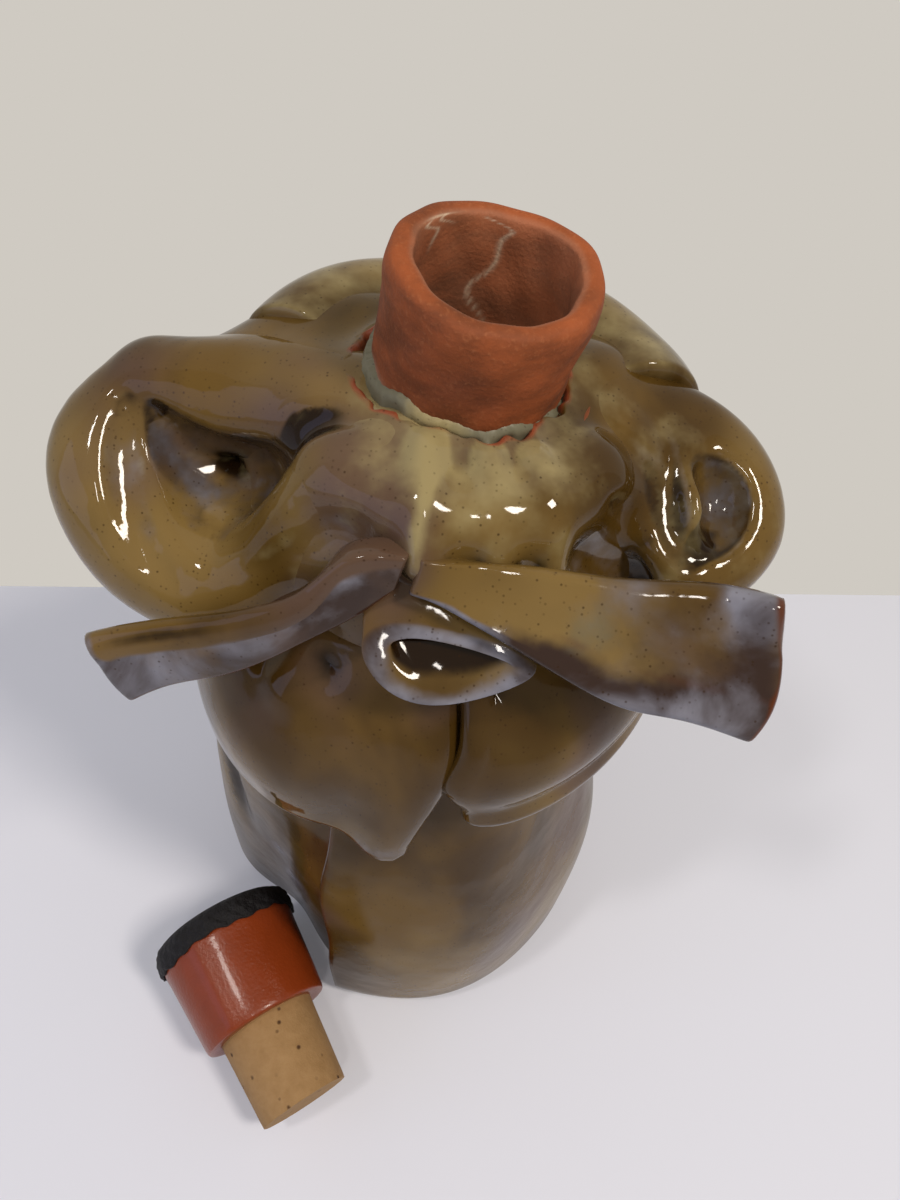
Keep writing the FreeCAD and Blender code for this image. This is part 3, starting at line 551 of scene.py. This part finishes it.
body_field = cloth_field(BODY_ROLLS, LEFT_ROLLS + RIGHT_ROLLS, LEFT_DIMPLES + RIGHT_DIMPLES)
reach = np.full(rays.shape[:-1], FIRST_REACH, np.float32)
for _ in range(REACH_STEPS):
    reach = np.maximum(reach - 0.5 * body_field(BODY_HEART + reach[..., None] * rays), 1.0)
body_grid = BODY_HEART + reach[..., None] * rays
for smoothing in range(BODY_PASSES):
    across = (np.roll(body_grid, 1, 1) + np.roll(body_grid, -1, 1)) / 2
    body_grid[1:-1] = 0.4 * body_grid[1:-1] + 0.3 * across[1:-1] + 0.15 * (body_grid[:-2] + body_grid[2:])
    if smoothing < BODY_SETTLED:
        body_grid[1:-1] = settled(body_field, body_grid[1:-1])
edge = body_grid[0]
out = np.stack([np.cos(spin), np.sin(spin), 0 * spin], -1)
torn_rows = []
for sink, inward in TORN_EDGE:
    torn_rows.append(edge - out * inward + np.array([0, 0, sink]))
floor_edge = torn_rows[-1]
climb = 0.5 + 2.1 * (1 - np.sin(spin)) + 0.45 * np.sin(5 * spin) + 0.3 * np.sin(11 * spin + 1)
for share, past, lift in GRIT_RINGS:
    ring = np.stack([(NECK_RADIUS + past) * np.cos(spin), (NECK_RADIUS + past) * np.sin(spin), climb + lift], -1)
    crumb = 0.25 * np.sin(37 * spin + 9 * share) * np.sin(22 * spin + 4 * lift)
    torn_rows.append(floor_edge * (1 - share) + (ring @ NECK_TURN.T + NECK_FOOT) * share
                     + crumb[:, None] * np.array([0, 0, 1.0]))
body_marks = glaze_marks(body_grid, body_field)
patchy = 0.45 + 0.55 * np.sin(4 * spin + 0.8) * np.sin(9 * spin)
torn_marks = {mark: np.zeros((len(torn_rows), len(spin))) for mark in ("painted_shade", "cream", "lilac", "torn", "moss")}
torn_marks["torn"][:len(TORN_EDGE)] = np.clip(patchy + 0.25, 0, 1)
torn_marks["moss"][len(TORN_EDGE):] = 0.8
torn_marks["cream"][len(TORN_EDGE):] = 0.1 + 0.6 * hump(bearing, 255, 22)
body_marks["torn"] = np.clip(patchy, 0, 1) * (1 - ease(np.arange(len(body_grid)), 0, 3))[:, None]
body_marks["moss"] = np.zeros_like(body_marks["cream"])
body_marks = {mark: np.vstack([torn_marks[mark][::-1], body_marks[mark]]) for mark in torn_marks}
skin("glazed_smock_body", np.vstack([np.array(torn_rows[::-1]), body_grid]), ash_glaze, "smock_body", "bottle",
     body_marks, poles=True)

# Smock back and fronts: rolled slabs, 5 mm thick at the back and 7 mm in front, bent while soft, with edges
# sponged round, under the same glaze. The back is rolled over behind the neck, and the fronts are tucked under the
# bow. All are pressed onto the body at the top and hang free at the hem.


def edged(count, rim):
    """Shares 0 to 1 along a slab, close together in its rounded rims."""
    bend = rim * (1 - np.cos(np.linspace(0, np.pi / 2, 6)))
    return np.concatenate([bend, np.linspace(rim, 1 - rim, count)[1:-1], (1 - bend)[::-1]])


def slab(name, middle, u, v, rim_u, rim_v, thickness, square, finish, node, body, marks):
    """A slab on both sides of its middle surface, rows along u and columns across v: the half thickness follows a
    rounded rim, (1 - (1 - s)^square)^(1/square), to nothing at the four edges, where both sides are joined."""
    def rim(share, width):
        t = 1 - np.clip(np.minimum(share, 1 - share) / width, 0, 1)
        return (1 - t ** square) ** (1 / square)

    across = np.cross(np.gradient(middle, axis=0), np.gradient(middle, axis=1))
    across /= np.linalg.norm(across, axis=-1, keepdims=True) + 1e-9
    half = thickness / 2 * rim(u, rim_u)[:, None] * rim(v, rim_v)[None, :]
    front, behind = middle + across * half[..., None], middle - across * half[..., None]
    grid = np.concatenate([front, behind[:, ::-1]], axis=1)
    both = {mark: np.concatenate([values, values[:, ::-1]], axis=1) for mark, values in marks.items()}
    skin(name, grid, finish, node, body, both)


BACK_START, BACK_SWEEP, BACK_REACH = 14, 146, 32
BACK_TOP, BACK_HEM = 165.5, 104
BACK_THICKNESS, BACK_RIM_U, BACK_RIM_V = 5.0, 0.012, 0.025
ROLL_SHARE, ROLL_SWEEP, ROLL_RADIUS = 0.34, 165, 8.6
u = edged(150, BACK_RIM_U)
v = edged(80, BACK_RIM_V)
drop, turn = np.meshgrid(v, u)
degrees = BACK_START + BACK_SWEEP * turn
bearing = np.radians(degrees)
roll_share = np.clip(drop / ROLL_SHARE, 0, 1)
fall_share = np.clip((drop - ROLL_SHARE) / (1 - ROLL_SHARE), 0, 1)
roll_angle = np.radians(ROLL_SWEEP * (1 - roll_share))
folds = np.cos(np.radians(5 * degrees)) + 0.45 * np.sin(np.radians(11 * degrees) + 1.0)
roll_radius = ROLL_RADIUS + 0.8 * np.sin(7 * turn) + 0.5 * np.sin(15 * turn + 1)
top_height = BACK_TOP + 1.5 * hump(turn, 0.72, 0.14) - 2.0 * hump(turn, 0.12, 0.12) + 0.8 * np.sin(9 * turn)
side_hug = 5.5 * ease(abs(turn - 0.5), 0.36, 0.5) * ease(fall_share, 0.0, 0.35)
reach = BACK_REACH + roll_radius * np.cos(roll_angle) + fall_share * (4.5 + 2.9 * folds) - side_hug
hem = BACK_HEM + 2.2 * np.sin(11 * turn + 0.5) - 1.0 * folds + 5.0 * ease(abs(turn - 0.5), 0.38, 0.5)
height = top_height + roll_radius * np.sin(roll_angle) + (hem - top_height) * fall_share
back = np.stack([BODY_HEART[0] + reach * np.cos(bearing), BODY_HEART[1] + reach * np.sin(bearing), height], -1)
# In the back's fold valleys the glaze pools lilac, and painted shade darkens them.
slab("glazed_smock_back", back, u, v, BACK_RIM_U, BACK_RIM_V, BACK_THICKNESS, 2.0, ash_glaze,
     "back_drape", "bottle",
     {"rust": 0.8 * ease(drop, 0.95, 0.99) + 0.4 * ease(abs(turn - 0.5), 0.485, 0.5),
      "lilac": 0.45 * np.clip(-folds, 0, 1) * fall_share,
      "cream": 0.45 * (1 - ease(drop, 0.2, 0.42)), "painted_shade": 0.25 * hump(folds, -1.2, 0.4) * fall_share})


LEFT_FRONT, RIGHT_FRONT = (188, 274.5), (275.5, 352)
FRONT_CENTRE, FRONT_TOP, FRONT_TOP_REACH, FRONT_HEM_REACH = 4, 146, 29.5, 44.5
FRONT_THICKNESS, FRONT_RIM_U, FRONT_RIM_V = 7.0, 0.08, 0.075


def smock_front(name, node, ends, lower, marks):
    """One front: its bearing runs between the two ends, and lower gives the hem's height, its swing outward and the
    bearing's shift by height. From the top, tucked under the bow, it swells out and falls to the hem."""
    u = edged(110, FRONT_RIM_U)
    v = edged(80, FRONT_RIM_V)
    drop, turn = np.meshgrid(v, u)
    hem, swing, shift = lower(turn, drop)
    bearing = np.radians(ends[0] + (ends[1] - ends[0]) * turn + shift)
    swell = through([0.0, 0.55, 0.86, 0.99, 1.0], drop)
    reach = FRONT_TOP_REACH + (FRONT_HEM_REACH + swing - FRONT_TOP_REACH) * swell
    height = FRONT_TOP + (hem - FRONT_TOP) * drop
    middle = np.stack([FRONT_CENTRE + reach * np.cos(bearing), reach * np.sin(bearing), height], -1)
    slab(name, middle, u, v, FRONT_RIM_U, FRONT_RIM_V, FRONT_THICKNESS, 2.0, ash_glaze, node, "bottle",
         marks(turn, drop))


def pressed(turn, drop, spots):
    """Swells and dents: the sum of the spots' heights, each times a bell along the turn and one down the drop."""
    return sum(height * hump(turn, at, wide) * hump(drop, down, tall) for height, at, wide, down, tall in spots)


LEFT_SWELLS = [(-1.6, 0.78, 0.10, 0.75, 0.30), (1.8, 0.55, 0.20, 0.60, 0.25), (2.2, 0.97, 0.05, 0.30, 0.20),
               (2.2, 0.57, 0.05, 0.24, 0.10)]
LEFT_DENTS = [(-5.0, 0.48, 0.06, 0.17, 0.07), (-5.0, 0.66, 0.06, 0.15, 0.06)]
RIGHT_SWELLS = [(1.4, 0.30, 0.20, 0.45, 0.20), (-1.6, 0.40, 0.40, 0.80, 0.12), (1.8, 0.03, 0.06, 0.32, 0.20)]
RIGHT_DENTS = [(-5.0, 0.16, 0.07, 0.18, 0.07)]
DENT_SHADE = -0.14


def left_lower(turn, drop):
    """The left front's hem dips to a point beside the dart, where its border swings out and slants."""
    bearing = LEFT_FRONT[0] + (LEFT_FRONT[1] - LEFT_FRONT[0]) * turn
    hem = 103 + 6 * np.cos(np.radians(bearing)) ** 2 - 5.0 * hump(turn, 0.93, 0.09)
    swing = 1.8 * np.sin(np.pi * turn) + 1.8 * hump(turn, 0.93, 0.07) * drop
    swing = swing + pressed(turn, drop, LEFT_SWELLS + LEFT_DENTS)
    return hem, swing, turn ** 4 * (7.5 - 10.0 * ease(drop, 0.3, 1.0))


def right_lower(turn, drop):
    """The right front's hem is higher and rises to the side, and its border bends round the dart."""
    bearing = RIGHT_FRONT[0] + (RIGHT_FRONT[1] - RIGHT_FRONT[0]) * turn
    hem = 108 + 16 * np.cos(np.radians(bearing)) ** 2 + 2.5 * hump(turn, 0.0, 0.12)
    swing = 2.4 * np.sin(np.pi * turn) + pressed(turn, drop, RIGHT_SWELLS + RIGHT_DENTS)
    return hem, swing, (1 - turn) ** 4 * (6.8 - 4.5 * hump(drop, 0.62, 0.16) + 1.5 * ease(drop, 0.6, 1.0))


# On both fronts painted shade darkens the top, under the bow, and the pressed dents.
smock_front("glazed_smock_front_left", "smock_front_left", LEFT_FRONT, left_lower, lambda turn, drop: {
    "rust": 0.7 * ease(drop, 0.95, 0.985), "lilac": 0.45 * hump(turn, 0.9, 0.09) * ease(drop, 0.6, 0.95),
    "painted_shade": DENT_SHADE * pressed(turn, drop, LEFT_DENTS) + 0.3 * (1 - ease(drop, 0.05, 0.25))})
smock_front("glazed_smock_front_right", "smock_front_right", RIGHT_FRONT, right_lower, lambda turn, drop: {
    "rust": 0.35 * ease(drop, 0.97, 0.99), "lilac": 0.6 * ease(drop, 0.88, 0.97) * (1 - 0.5 * turn),
    "painted_shade": DENT_SHADE * pressed(turn, drop, RIGHT_DENTS) + 0.4 * (1 - ease(drop, 0.05, 0.2))})

# Bow wings: two cut strips of rolled clay under the same glaze, which pooled milky on their faces. The left one
# droops, and the right one is bellied and curls up at its end. Their roots are pinched together on the chest and
# luted there.


def strip(top, low):
    """A strip ruled between two smooth edges: rows follow u along both, and columns go straight across by v."""
    return through(top, u)[:, None] * (1 - v)[None, :, None] + through(low, u)[:, None] * v[None, :, None]


WING_THICKNESS, WING_END_RIM, LEFT_WING_RIM, RIGHT_WING_RIM = 5.5, 0.03, 0.12, 0.10
u = edged(110, WING_END_RIM)
v = edged(40, LEFT_WING_RIM)
across, run = np.meshgrid(v, u)
left_wing = strip(
    [(2, -30, 168.6), (-7.5, -31.5, 167.5), (-14, -33, 161), (-21, -34, 157.2), (-35, -35, 153.2),
     (-48.3, -36, 147.6)],
    [(0, -31, 162), (-6, -33.5, 157.5), (-14, -36, 152.8), (-23.5, -38, 147.5), (-33.2, -39, 142),
     (-43, -40, 136.4)])
left_wing[..., 1] -= 1.4 * hump(across, 0.1, 0.2) * ease(run, 0.2, 0.5)
left_wing[..., 1] += -1.6 * np.sin(np.pi * across) * run + 0.6 * np.sin(9 * run)
left_wing[..., 2] += 0.5 * np.sin(14 * run + 2 * across)
# Painted shade along the top edge towards the end and over the lower face about two thirds along.
slab("glazed_bow_left_wing", left_wing, u, v, WING_END_RIM, LEFT_WING_RIM, WING_THICKNESS, 3.0, ash_glaze,
     "bow_left_wing", "bottle",
     {"lilac": (ease(across, 0.16, 0.36) * (0.5 + 0.4 * hump(run, 0.95, 0.14) + 0.4 * hump(run, 0.28, 0.16))
                + 0.6 * ease(run, 0.955, 0.985)),
      "rust": 0.8 * ease(across, 0.86, 0.96),
      "painted_shade": (0.7 * hump(run, 0.8, 0.14) * hump(across, 0.12, 0.06)
                 + 0.6 * ease(across, 0.3, 0.6) * hump(run, 0.62, 0.2))})
right_wing = strip(
    [(3, -30.5, 168.5), (11, -29.5, 167), (18.5, -29.5, 166.5), (28.5, -29.5, 166.3), (36, -29.5, 166.8),
     (46, -30, 167.6), (56, -31, 167.6)],
    [(2.5, -32.5, 162.5), (7.5, -34.5, 161.5), (15, -37.5, 159), (24.4, -40.5, 155.8), (35, -42.5, 152.4),
     (45.5, -44.5, 152.3), (55, -45.5, 150.4)])
belly = np.sin(np.pi * across) * ease(run, 0.1, 0.6)
right_wing[..., 1] -= 1.8 * belly
right_wing[..., 2] -= 2.0 * belly + 0.4 * np.sin(12 * run)
right_wing[..., 0] += 2.6 * np.sin(np.pi * across) * ease(run, 0.7, 1.0)
curl = ease(run, 0.86, 1.0) * (1 - ease(across, 0.0, 0.3))
right_wing[..., 2] += 1.6 * curl
right_wing[..., 1] -= 2.0 * curl
slab("glazed_bow_right_wing", right_wing, u, v, WING_END_RIM, RIGHT_WING_RIM, WING_THICKNESS, 3.0, ash_glaze,
     "bow_right_wing", "bottle",
     {"lilac": (0.9 * ease(across, 0.45, 0.8) * ease(run, 0.25, 0.5) + 0.5 * hump(run, 0.93, 0.06)
                + 0.38 * ease(run, 0.3, 0.6) * (1 - ease(across, 0.45, 0.8))
                + 0.8 * hump(across, 0.95, 0.08) * (1 - ease(run, 0.35, 0.55))),
      "rust": (0.3 * hump(across, 0.55 + 0.05 * np.sin(9 * run), 0.08) * ease(run, 0.2, 0.5)
               + 0.6 * ease(run, 0.97, 0.99)),
      "moss": 0.42 * hump(run, 0.55, 0.13) * hump(across, 0.36, 0.3)})

# Bow knot: a short hollow roll of clay with a squashed, rounded-off three-cornered mouth, under the same glaze.
# Its root is pinched shut and luted to the chest beneath the wings.
KNOT_HALF_WIDTH, KNOT_HALF_HEIGHT, KNOT_SLOPE = 13.2, 5.6, np.radians(40)
around, along = np.meshgrid(np.linspace(0, 2 * np.pi, 140, endpoint=False), np.linspace(0, 1, 110))
mouth_up = np.array([0, np.sin(KNOT_SLOPE), np.cos(KNOT_SLOPE)])
mouth_out = np.array([0, -np.cos(KNOT_SLOPE), np.sin(KNOT_SLOPE)])
root, mouth = np.array([3.5, -27.0, 161.5]), np.array([9.2, -39.6, 153.6])
wall_profile = through([
    [0.4, 0.0], [0.66, 0.08], [0.82, 0.45], [0.97, 0.9], [1.0, 1.0], [0.92, 1.06], [0.76, 1.04], [0.64, 0.9],
    [0.58, 0.55], [0.46, 0.25], [0.08, 0.14]], along)
size, depth = wall_profile[..., 0], wall_profile[..., 1]
side = np.cos(around) * (1 + 0.12 * np.sin(around)) - 0.06 * np.sin(around) ** 2
rise = np.sin(around) * (1 - 0.26 * np.cos(around)) + 0.10 * np.cos(2 * around)
knot = (root + (mouth - root) * depth[..., None]
        + np.array([1.0, 0, 0]) * (KNOT_HALF_WIDTH * size * side)[..., None]
        + mouth_up * ((KNOT_HALF_HEIGHT + 1.6 * (1 - ease(depth, 0.2, 0.8))) * size * rise)[..., None])
knot = knot + mouth_out * (0.7 * np.sin(2 * around + 0.5) * ease(depth, 0.7, 1.0))[..., None]
rim = hump(along, 0.5, 0.15)
# The rim pools milky lilac, and painted shade darkens the inside of the mouth.
skin("glazed_bow_knot", knot, ash_glaze, "bow_knot", "bottle",
     {"lilac": 0.8 * rim, "painted_shade": ease(along, 0.64, 0.76)}, poles=True)

# Stopper head, cap and cork: a plain red earthenware cup under a clear glaze, a black felt-like cap of dark clay
# on its crown, and a tapered cork glued into its socket. It lies on its side beside the foot.
HEAD_LENGTH, HEAD_LOW, HEAD_HIGH = 24.0, 16.3, 18.0
CORK_RADIUS, CORK_TIP, CORK_SHOWN = 12.2, 11.0, 21.0
CAP_RADIUS = 18.8
STOPPER_AIM = np.radians(-53 + 180)
STOPPER_PLACE = np.array([-26.8, -60.6, 0.0])
TILT = np.arctan2(CAP_RADIUS - HEAD_LOW, HEAD_LENGTH)
STOPPER_PLACE[2] = HEAD_LOW * np.cos(TILT)
STOPPER_TURN = np.array(Matrix.Rotation(STOPPER_AIM, 3, "Z") @ Matrix.Rotation(np.pi / 2 - TILT, 3, "Y"))
around, along = np.meshgrid(np.linspace(0, 2 * np.pi, 150, endpoint=False), np.linspace(0, 1, 90))


def lay(reach, height, around):
    """A turned form laid on the table: its own axis is the stopper's, from the head's lower end."""
    local = np.stack([reach * np.cos(around), reach * np.sin(around), height], -1)
    return local @ STOPPER_TURN.T + STOPPER_PLACE


profile = through([
    [CORK_RADIUS - 1.5, 0.6], [CORK_RADIUS + 1.2, 0.1], [HEAD_LOW - 1.0, 0.1], [HEAD_LOW - 0.1, 0.8],
    [HEAD_LOW + 0.35, 5], [HEAD_LOW + 0.85, 12], [HEAD_HIGH - 0.35, 19], [HEAD_HIGH - 0.1, 23.2],
    [HEAD_HIGH - 1.5, HEAD_LENGTH], [4.0, HEAD_LENGTH]], along)
ridge = 0.35 * hump(np.abs((around - 2.6 + np.pi) % (2 * np.pi) - np.pi), 0, 0.12) - 0.25
dents = ridge + 0.12 * np.sin(3 * around + profile[..., 1] * 0.1)
head_reach = profile[..., 0] + ease(profile[..., 0], 13, 16) * dents
# Clear-glazed red clay: an even brick red with slow clouds and a soft shine.
red, tree, shader, place = blank("clear_glazed_red_earthenware", Roughness=0.3, IOR=1.5, Specular_IOR_Level=0.3,
                                 Coat_Weight=0.12, Coat_Roughness=0.08)
cloud = add(tree, "ShaderNodeTexNoise", {"Vector": place, "Scale": per_mm(9), "Detail": 4.0,
                                         "Roughness": 0.6}).outputs["Fac"]
grain = add(tree, "ShaderNodeTexNoise", {"Vector": place, "Scale": per_mm(0.8), "Detail": 2.0}).outputs["Fac"]
warm = add(tree, "ShaderNodeMix", {0: cloud, 6: linear("#6e2b0d"), 7: linear("#8b3a16")},
           data_type="RGBA").outputs[2]
tree.links.new(warm, shader.inputs["Base Color"])
height = add(tree, "ShaderNodeMath", {0: cloud, 1: grain}, operation="ADD").outputs[0]
bump = add(tree, "ShaderNodeBump", {"Height": height, "Strength": 0.25, "Distance": 0.0004}).outputs[0]
tree.links.new(bump, shader.inputs["Normal"])
skin("red_stopper_head", lay(head_reach, profile[..., 1], around), red, "stopper_head", "stopper",
     poles=True)

profile = through([
    [3.0, 23.9], [14.0, 23.6], [CAP_RADIUS - 1.1, 22.6], [CAP_RADIUS - 0.35, 22.7], [CAP_RADIUS - 0.05, 24.2],
    [CAP_RADIUS - 0.2, 26.4], [CAP_RADIUS - 1.2, 28.3], [CAP_RADIUS - 3.6, 29.4], [10.0, 29.6], [2.0, 29.6]], along)
border = 0.4 * np.sin(5 * around) + 0.3 * np.sin(19 * around + 1)
profile[..., 1] += hump(profile[..., 1], 22.6, 1.2) * ease(profile[..., 0], 15, 17) * border
crumbs = (0.16 * np.sin(13 * around + 2 * along) + 0.12 * np.sin(29 * around + 31 * along)
          + 0.10 * np.sin(47 * around - 23 * along))
rough = ease(profile[..., 0], 16, 18) * crumbs
# Dark slip clay: nearly black, matt and crumbly, with hardly any shine.
black, tree, shader, place = blank("black_slip_clay", Roughness=0.6, IOR=1.5, Specular_IOR_Level=0.25)
felt = add(tree, "ShaderNodeTexNoise", {"Vector": place, "Scale": per_mm(1.6), "Detail": 4.0,
                                        "Roughness": 0.7}).outputs["Fac"]
char = add(tree, "ShaderNodeMix", {0: felt, 6: linear("#060507"), 7: linear("#1b191c")},
           data_type="RGBA").outputs[2]
tree.links.new(char, shader.inputs["Base Color"])
bump = add(tree, "ShaderNodeBump", {"Height": felt, "Strength": 0.8, "Distance": 0.0009}).outputs[0]
tree.links.new(bump, shader.inputs["Normal"])
skin("black_stopper_cap", lay(profile[..., 0] + rough, profile[..., 1], around), black, "stopper_beret",
     "stopper", poles=True)

profile = through([
    [2.0, -CORK_SHOWN], [9.0, -CORK_SHOWN], [CORK_TIP - 0.35, -CORK_SHOWN], [CORK_TIP, -CORK_SHOWN + 0.5],
    [CORK_TIP + 0.3, -15.5], [CORK_TIP + 0.6, -10.5], [CORK_TIP + 0.9, -5], [CORK_RADIUS, 0], [CORK_RADIUS, 4],
    [CORK_RADIUS - 4, 6], [2.0, 6.0]], along)
# Cut cork: dull tan grain with small dark pores, some 3 mm apart.
pale_cork, tree, shader, place = blank("cut_cork", Roughness=0.8, IOR=1.4)
grain = add(tree, "ShaderNodeTexNoise", {"Vector": place, "Scale": per_mm(3.0), "Detail": 5.0,
                                         "Roughness": 0.7}).outputs["Fac"]
cells = add(tree, "ShaderNodeTexVoronoi", {"Vector": place, "Scale": per_mm(3.2), "Randomness": 1.0})
lenticel = add(tree, "ShaderNodeMapRange", {"Value": cells.outputs["Distance"], "From Min": 0.20,
                                            "From Max": 0.08}).outputs[0]
some = add(tree, "ShaderNodeSeparateColor", {"Color": cells.outputs["Color"]}).outputs[0]
some = add(tree, "ShaderNodeMapRange", {"Value": some, "From Min": 0.4, "From Max": 0.6}).outputs[0]
pit = add(tree, "ShaderNodeMath", {0: lenticel, 1: some}, operation="MULTIPLY", use_clamp=True).outputs[0]
bark = add(tree, "ShaderNodeMix", {0: grain, 6: linear("#84633a"), 7: linear("#a9875d")},
           data_type="RGBA").outputs[2]
bark = add(tree, "ShaderNodeMix", {0: pit, 6: bark, 7: linear("#4a2f18")}, data_type="RGBA").outputs[2]
tree.links.new(bark, shader.inputs["Base Color"])
sunk = add(tree, "ShaderNodeMath", {0: grain, 1: pit}, operation="SUBTRACT").outputs[0]
bump = add(tree, "ShaderNodeBump", {"Height": sunk, "Strength": 0.5, "Distance": 0.0006}).outputs[0]
tree.links.new(bump, shader.inputs["Normal"])
skin("cork", lay(profile[..., 0], profile[..., 1], around), pale_cork, "stopper_cork", "stopper",
     poles=True)

# Stage: a white table top before a pale wall, under a warm lamp, two small ones and a window's cooler light.
# The wall is a flat tone on its front alone, so that it takes no light from the object and hides nothing from
# behind.


def plane(name, corners):
    """A flat stage piece, with its material's nodes and the share of rays that look at it: those from the camera
    and those that gloss or glass send on."""
    mesh = bpy.data.meshes.new(name)
    mesh.from_pydata(corners, [], [(0, 1, 2, 3)])
    paint, tree, shader, _ = blank(name + "_paint", Roughness=0.9)
    path = add(tree, "ShaderNodeLightPath").outputs
    seen = add(tree, "ShaderNodeMath", {0: path["Is Camera Ray"], 1: path["Is Glossy Ray"]},
               operation="MAXIMUM").outputs[0]
    seen = add(tree, "ShaderNodeMath", {0: seen, 1: path["Is Transmission Ray"]}, operation="MAXIMUM").outputs[0]
    mesh.materials.append(paint)
    piece = bpy.data.objects.new(name, mesh)
    bpy.context.scene.collection.objects.link(piece)
    return tree, shader, seen


TABLE_GLOW, TABLE_COLOUR, WALL_COLOUR = 0.10, linear("#d4d6e1"), linear("#cfcac2")
FAR, WALL_LEFT, WALL_RIGHT = 1.5, -0.083, 0.285
tree, shader, seen = plane("table_top", [(-FAR, -FAR, 0), (FAR, -FAR, 0), (FAR, FAR, 0), (-FAR, FAR, 0)])
shader.inputs["Base Color"].default_value = TABLE_COLOUR
shader.inputs["Emission Color"].default_value = TABLE_COLOUR
glow = add(tree, "ShaderNodeMath", {0: seen, 1: TABLE_GLOW}, operation="MULTIPLY").outputs[0]
tree.links.new(glow, shader.inputs["Emission Strength"])
tree, shader, seen = plane("wall", [(-FAR, WALL_LEFT, 0), (FAR, WALL_RIGHT, 0), (FAR, WALL_RIGHT, FAR),
                                    (-FAR, WALL_LEFT, FAR)])
behind = add(tree, "ShaderNodeNewGeometry").outputs["Backfacing"]
front = add(tree, "ShaderNodeMath", {0: seen, 1: behind}, operation="SUBTRACT", use_clamp=True).outputs[0]
clear = add(tree, "ShaderNodeBsdfTransparent").outputs[0]
tone = add(tree, "ShaderNodeEmission", {"Color": WALL_COLOUR, "Strength": 1.0}).outputs[0]
either = add(tree, "ShaderNodeMixShader", {0: front, 1: clear, 2: tone}).outputs[0]
tree.links.new(either, tree.nodes["Material Output"].inputs["Surface"])


def lamp(name, place, target, size, power, colour):
    """An area lamp of (width, height) metres that faces a target."""
    light = bpy.data.lights.new(name, "AREA")
    light.shape = "RECTANGLE"
    light.size, light.size_y = size
    light.energy = power
    light.color = linear(colour)[:3]
    piece = bpy.data.objects.new(name, light)
    piece.location = place
    back = np.array(place) - np.array(target)
    back = back / np.linalg.norm(back)
    side = np.cross((0, 0, 1), back)
    side = side / np.linalg.norm(side)
    up = np.cross(back, side)
    piece.rotation_euler = Matrix((side, up, back)).transposed().to_euler()
    bpy.context.scene.collection.objects.link(piece)


ROOM_LIGHT = 0.48
lamp("key", (0.45, -0.30, 0.90), (0, 0, 0.1), (0.14, 0.20), 5.0, "#fff4e6")
lamp("ceiling_left", (-0.35, -0.30, 0.95), (0, 0, 0.15), (0.07, 0.12), 1.6, "#fff8f0")
lamp("ceiling_front", (0.02, -0.55, 0.85), (0, 0, 0.15), (0.05, 0.12), 0.9, "#fff8f0")
lamp("window", (-0.75, -0.40, 0.40), (0, 0, 0.1), (0.6, 0.6), 1.1, "#bcc9ff")
world = bpy.data.worlds.new("room")
bpy.context.scene.world = world
world.use_nodes = True
world.node_tree.nodes["Background"].inputs["Color"].default_value = linear("#e6e3dd")
world.node_tree.nodes["Background"].inputs["Strength"].default_value = ROOM_LIGHT

# Camera: held in the hand above the front, 51 degrees down and rolled a little, with a phone's wide lens.
# Its place and turn were solved from the neck, the foot and the lying stopper.
CAMERA_PLACE = (0.0084, -0.1183, 0.2664)
PITCH, ROLL = np.radians(51.0), np.radians(6.0)
eye = bpy.data.cameras.new("camera")
eye.sensor_width = 36.0
eye.lens = 27.0
eye.clip_start = 0.01
camera = bpy.data.objects.new("camera", eye)
forward = np.array([0, np.cos(PITCH), -np.sin(PITCH)])
level, rise = np.array([1.0, 0, 0]), np.array([0, np.sin(PITCH), np.cos(PITCH)])
right = level * np.cos(ROLL) + rise * np.sin(ROLL)
up = rise * np.cos(ROLL) - level * np.sin(ROLL)
turned = Matrix((right, up, -forward)).transposed().to_4x4()
turned.translation = CAMERA_PLACE
camera.matrix_world = turned
bpy.context.scene.collection.objects.link(camera)
bpy.context.scene.camera = camera
bpy.context.scene.view_settings.view_transform = "Standard"
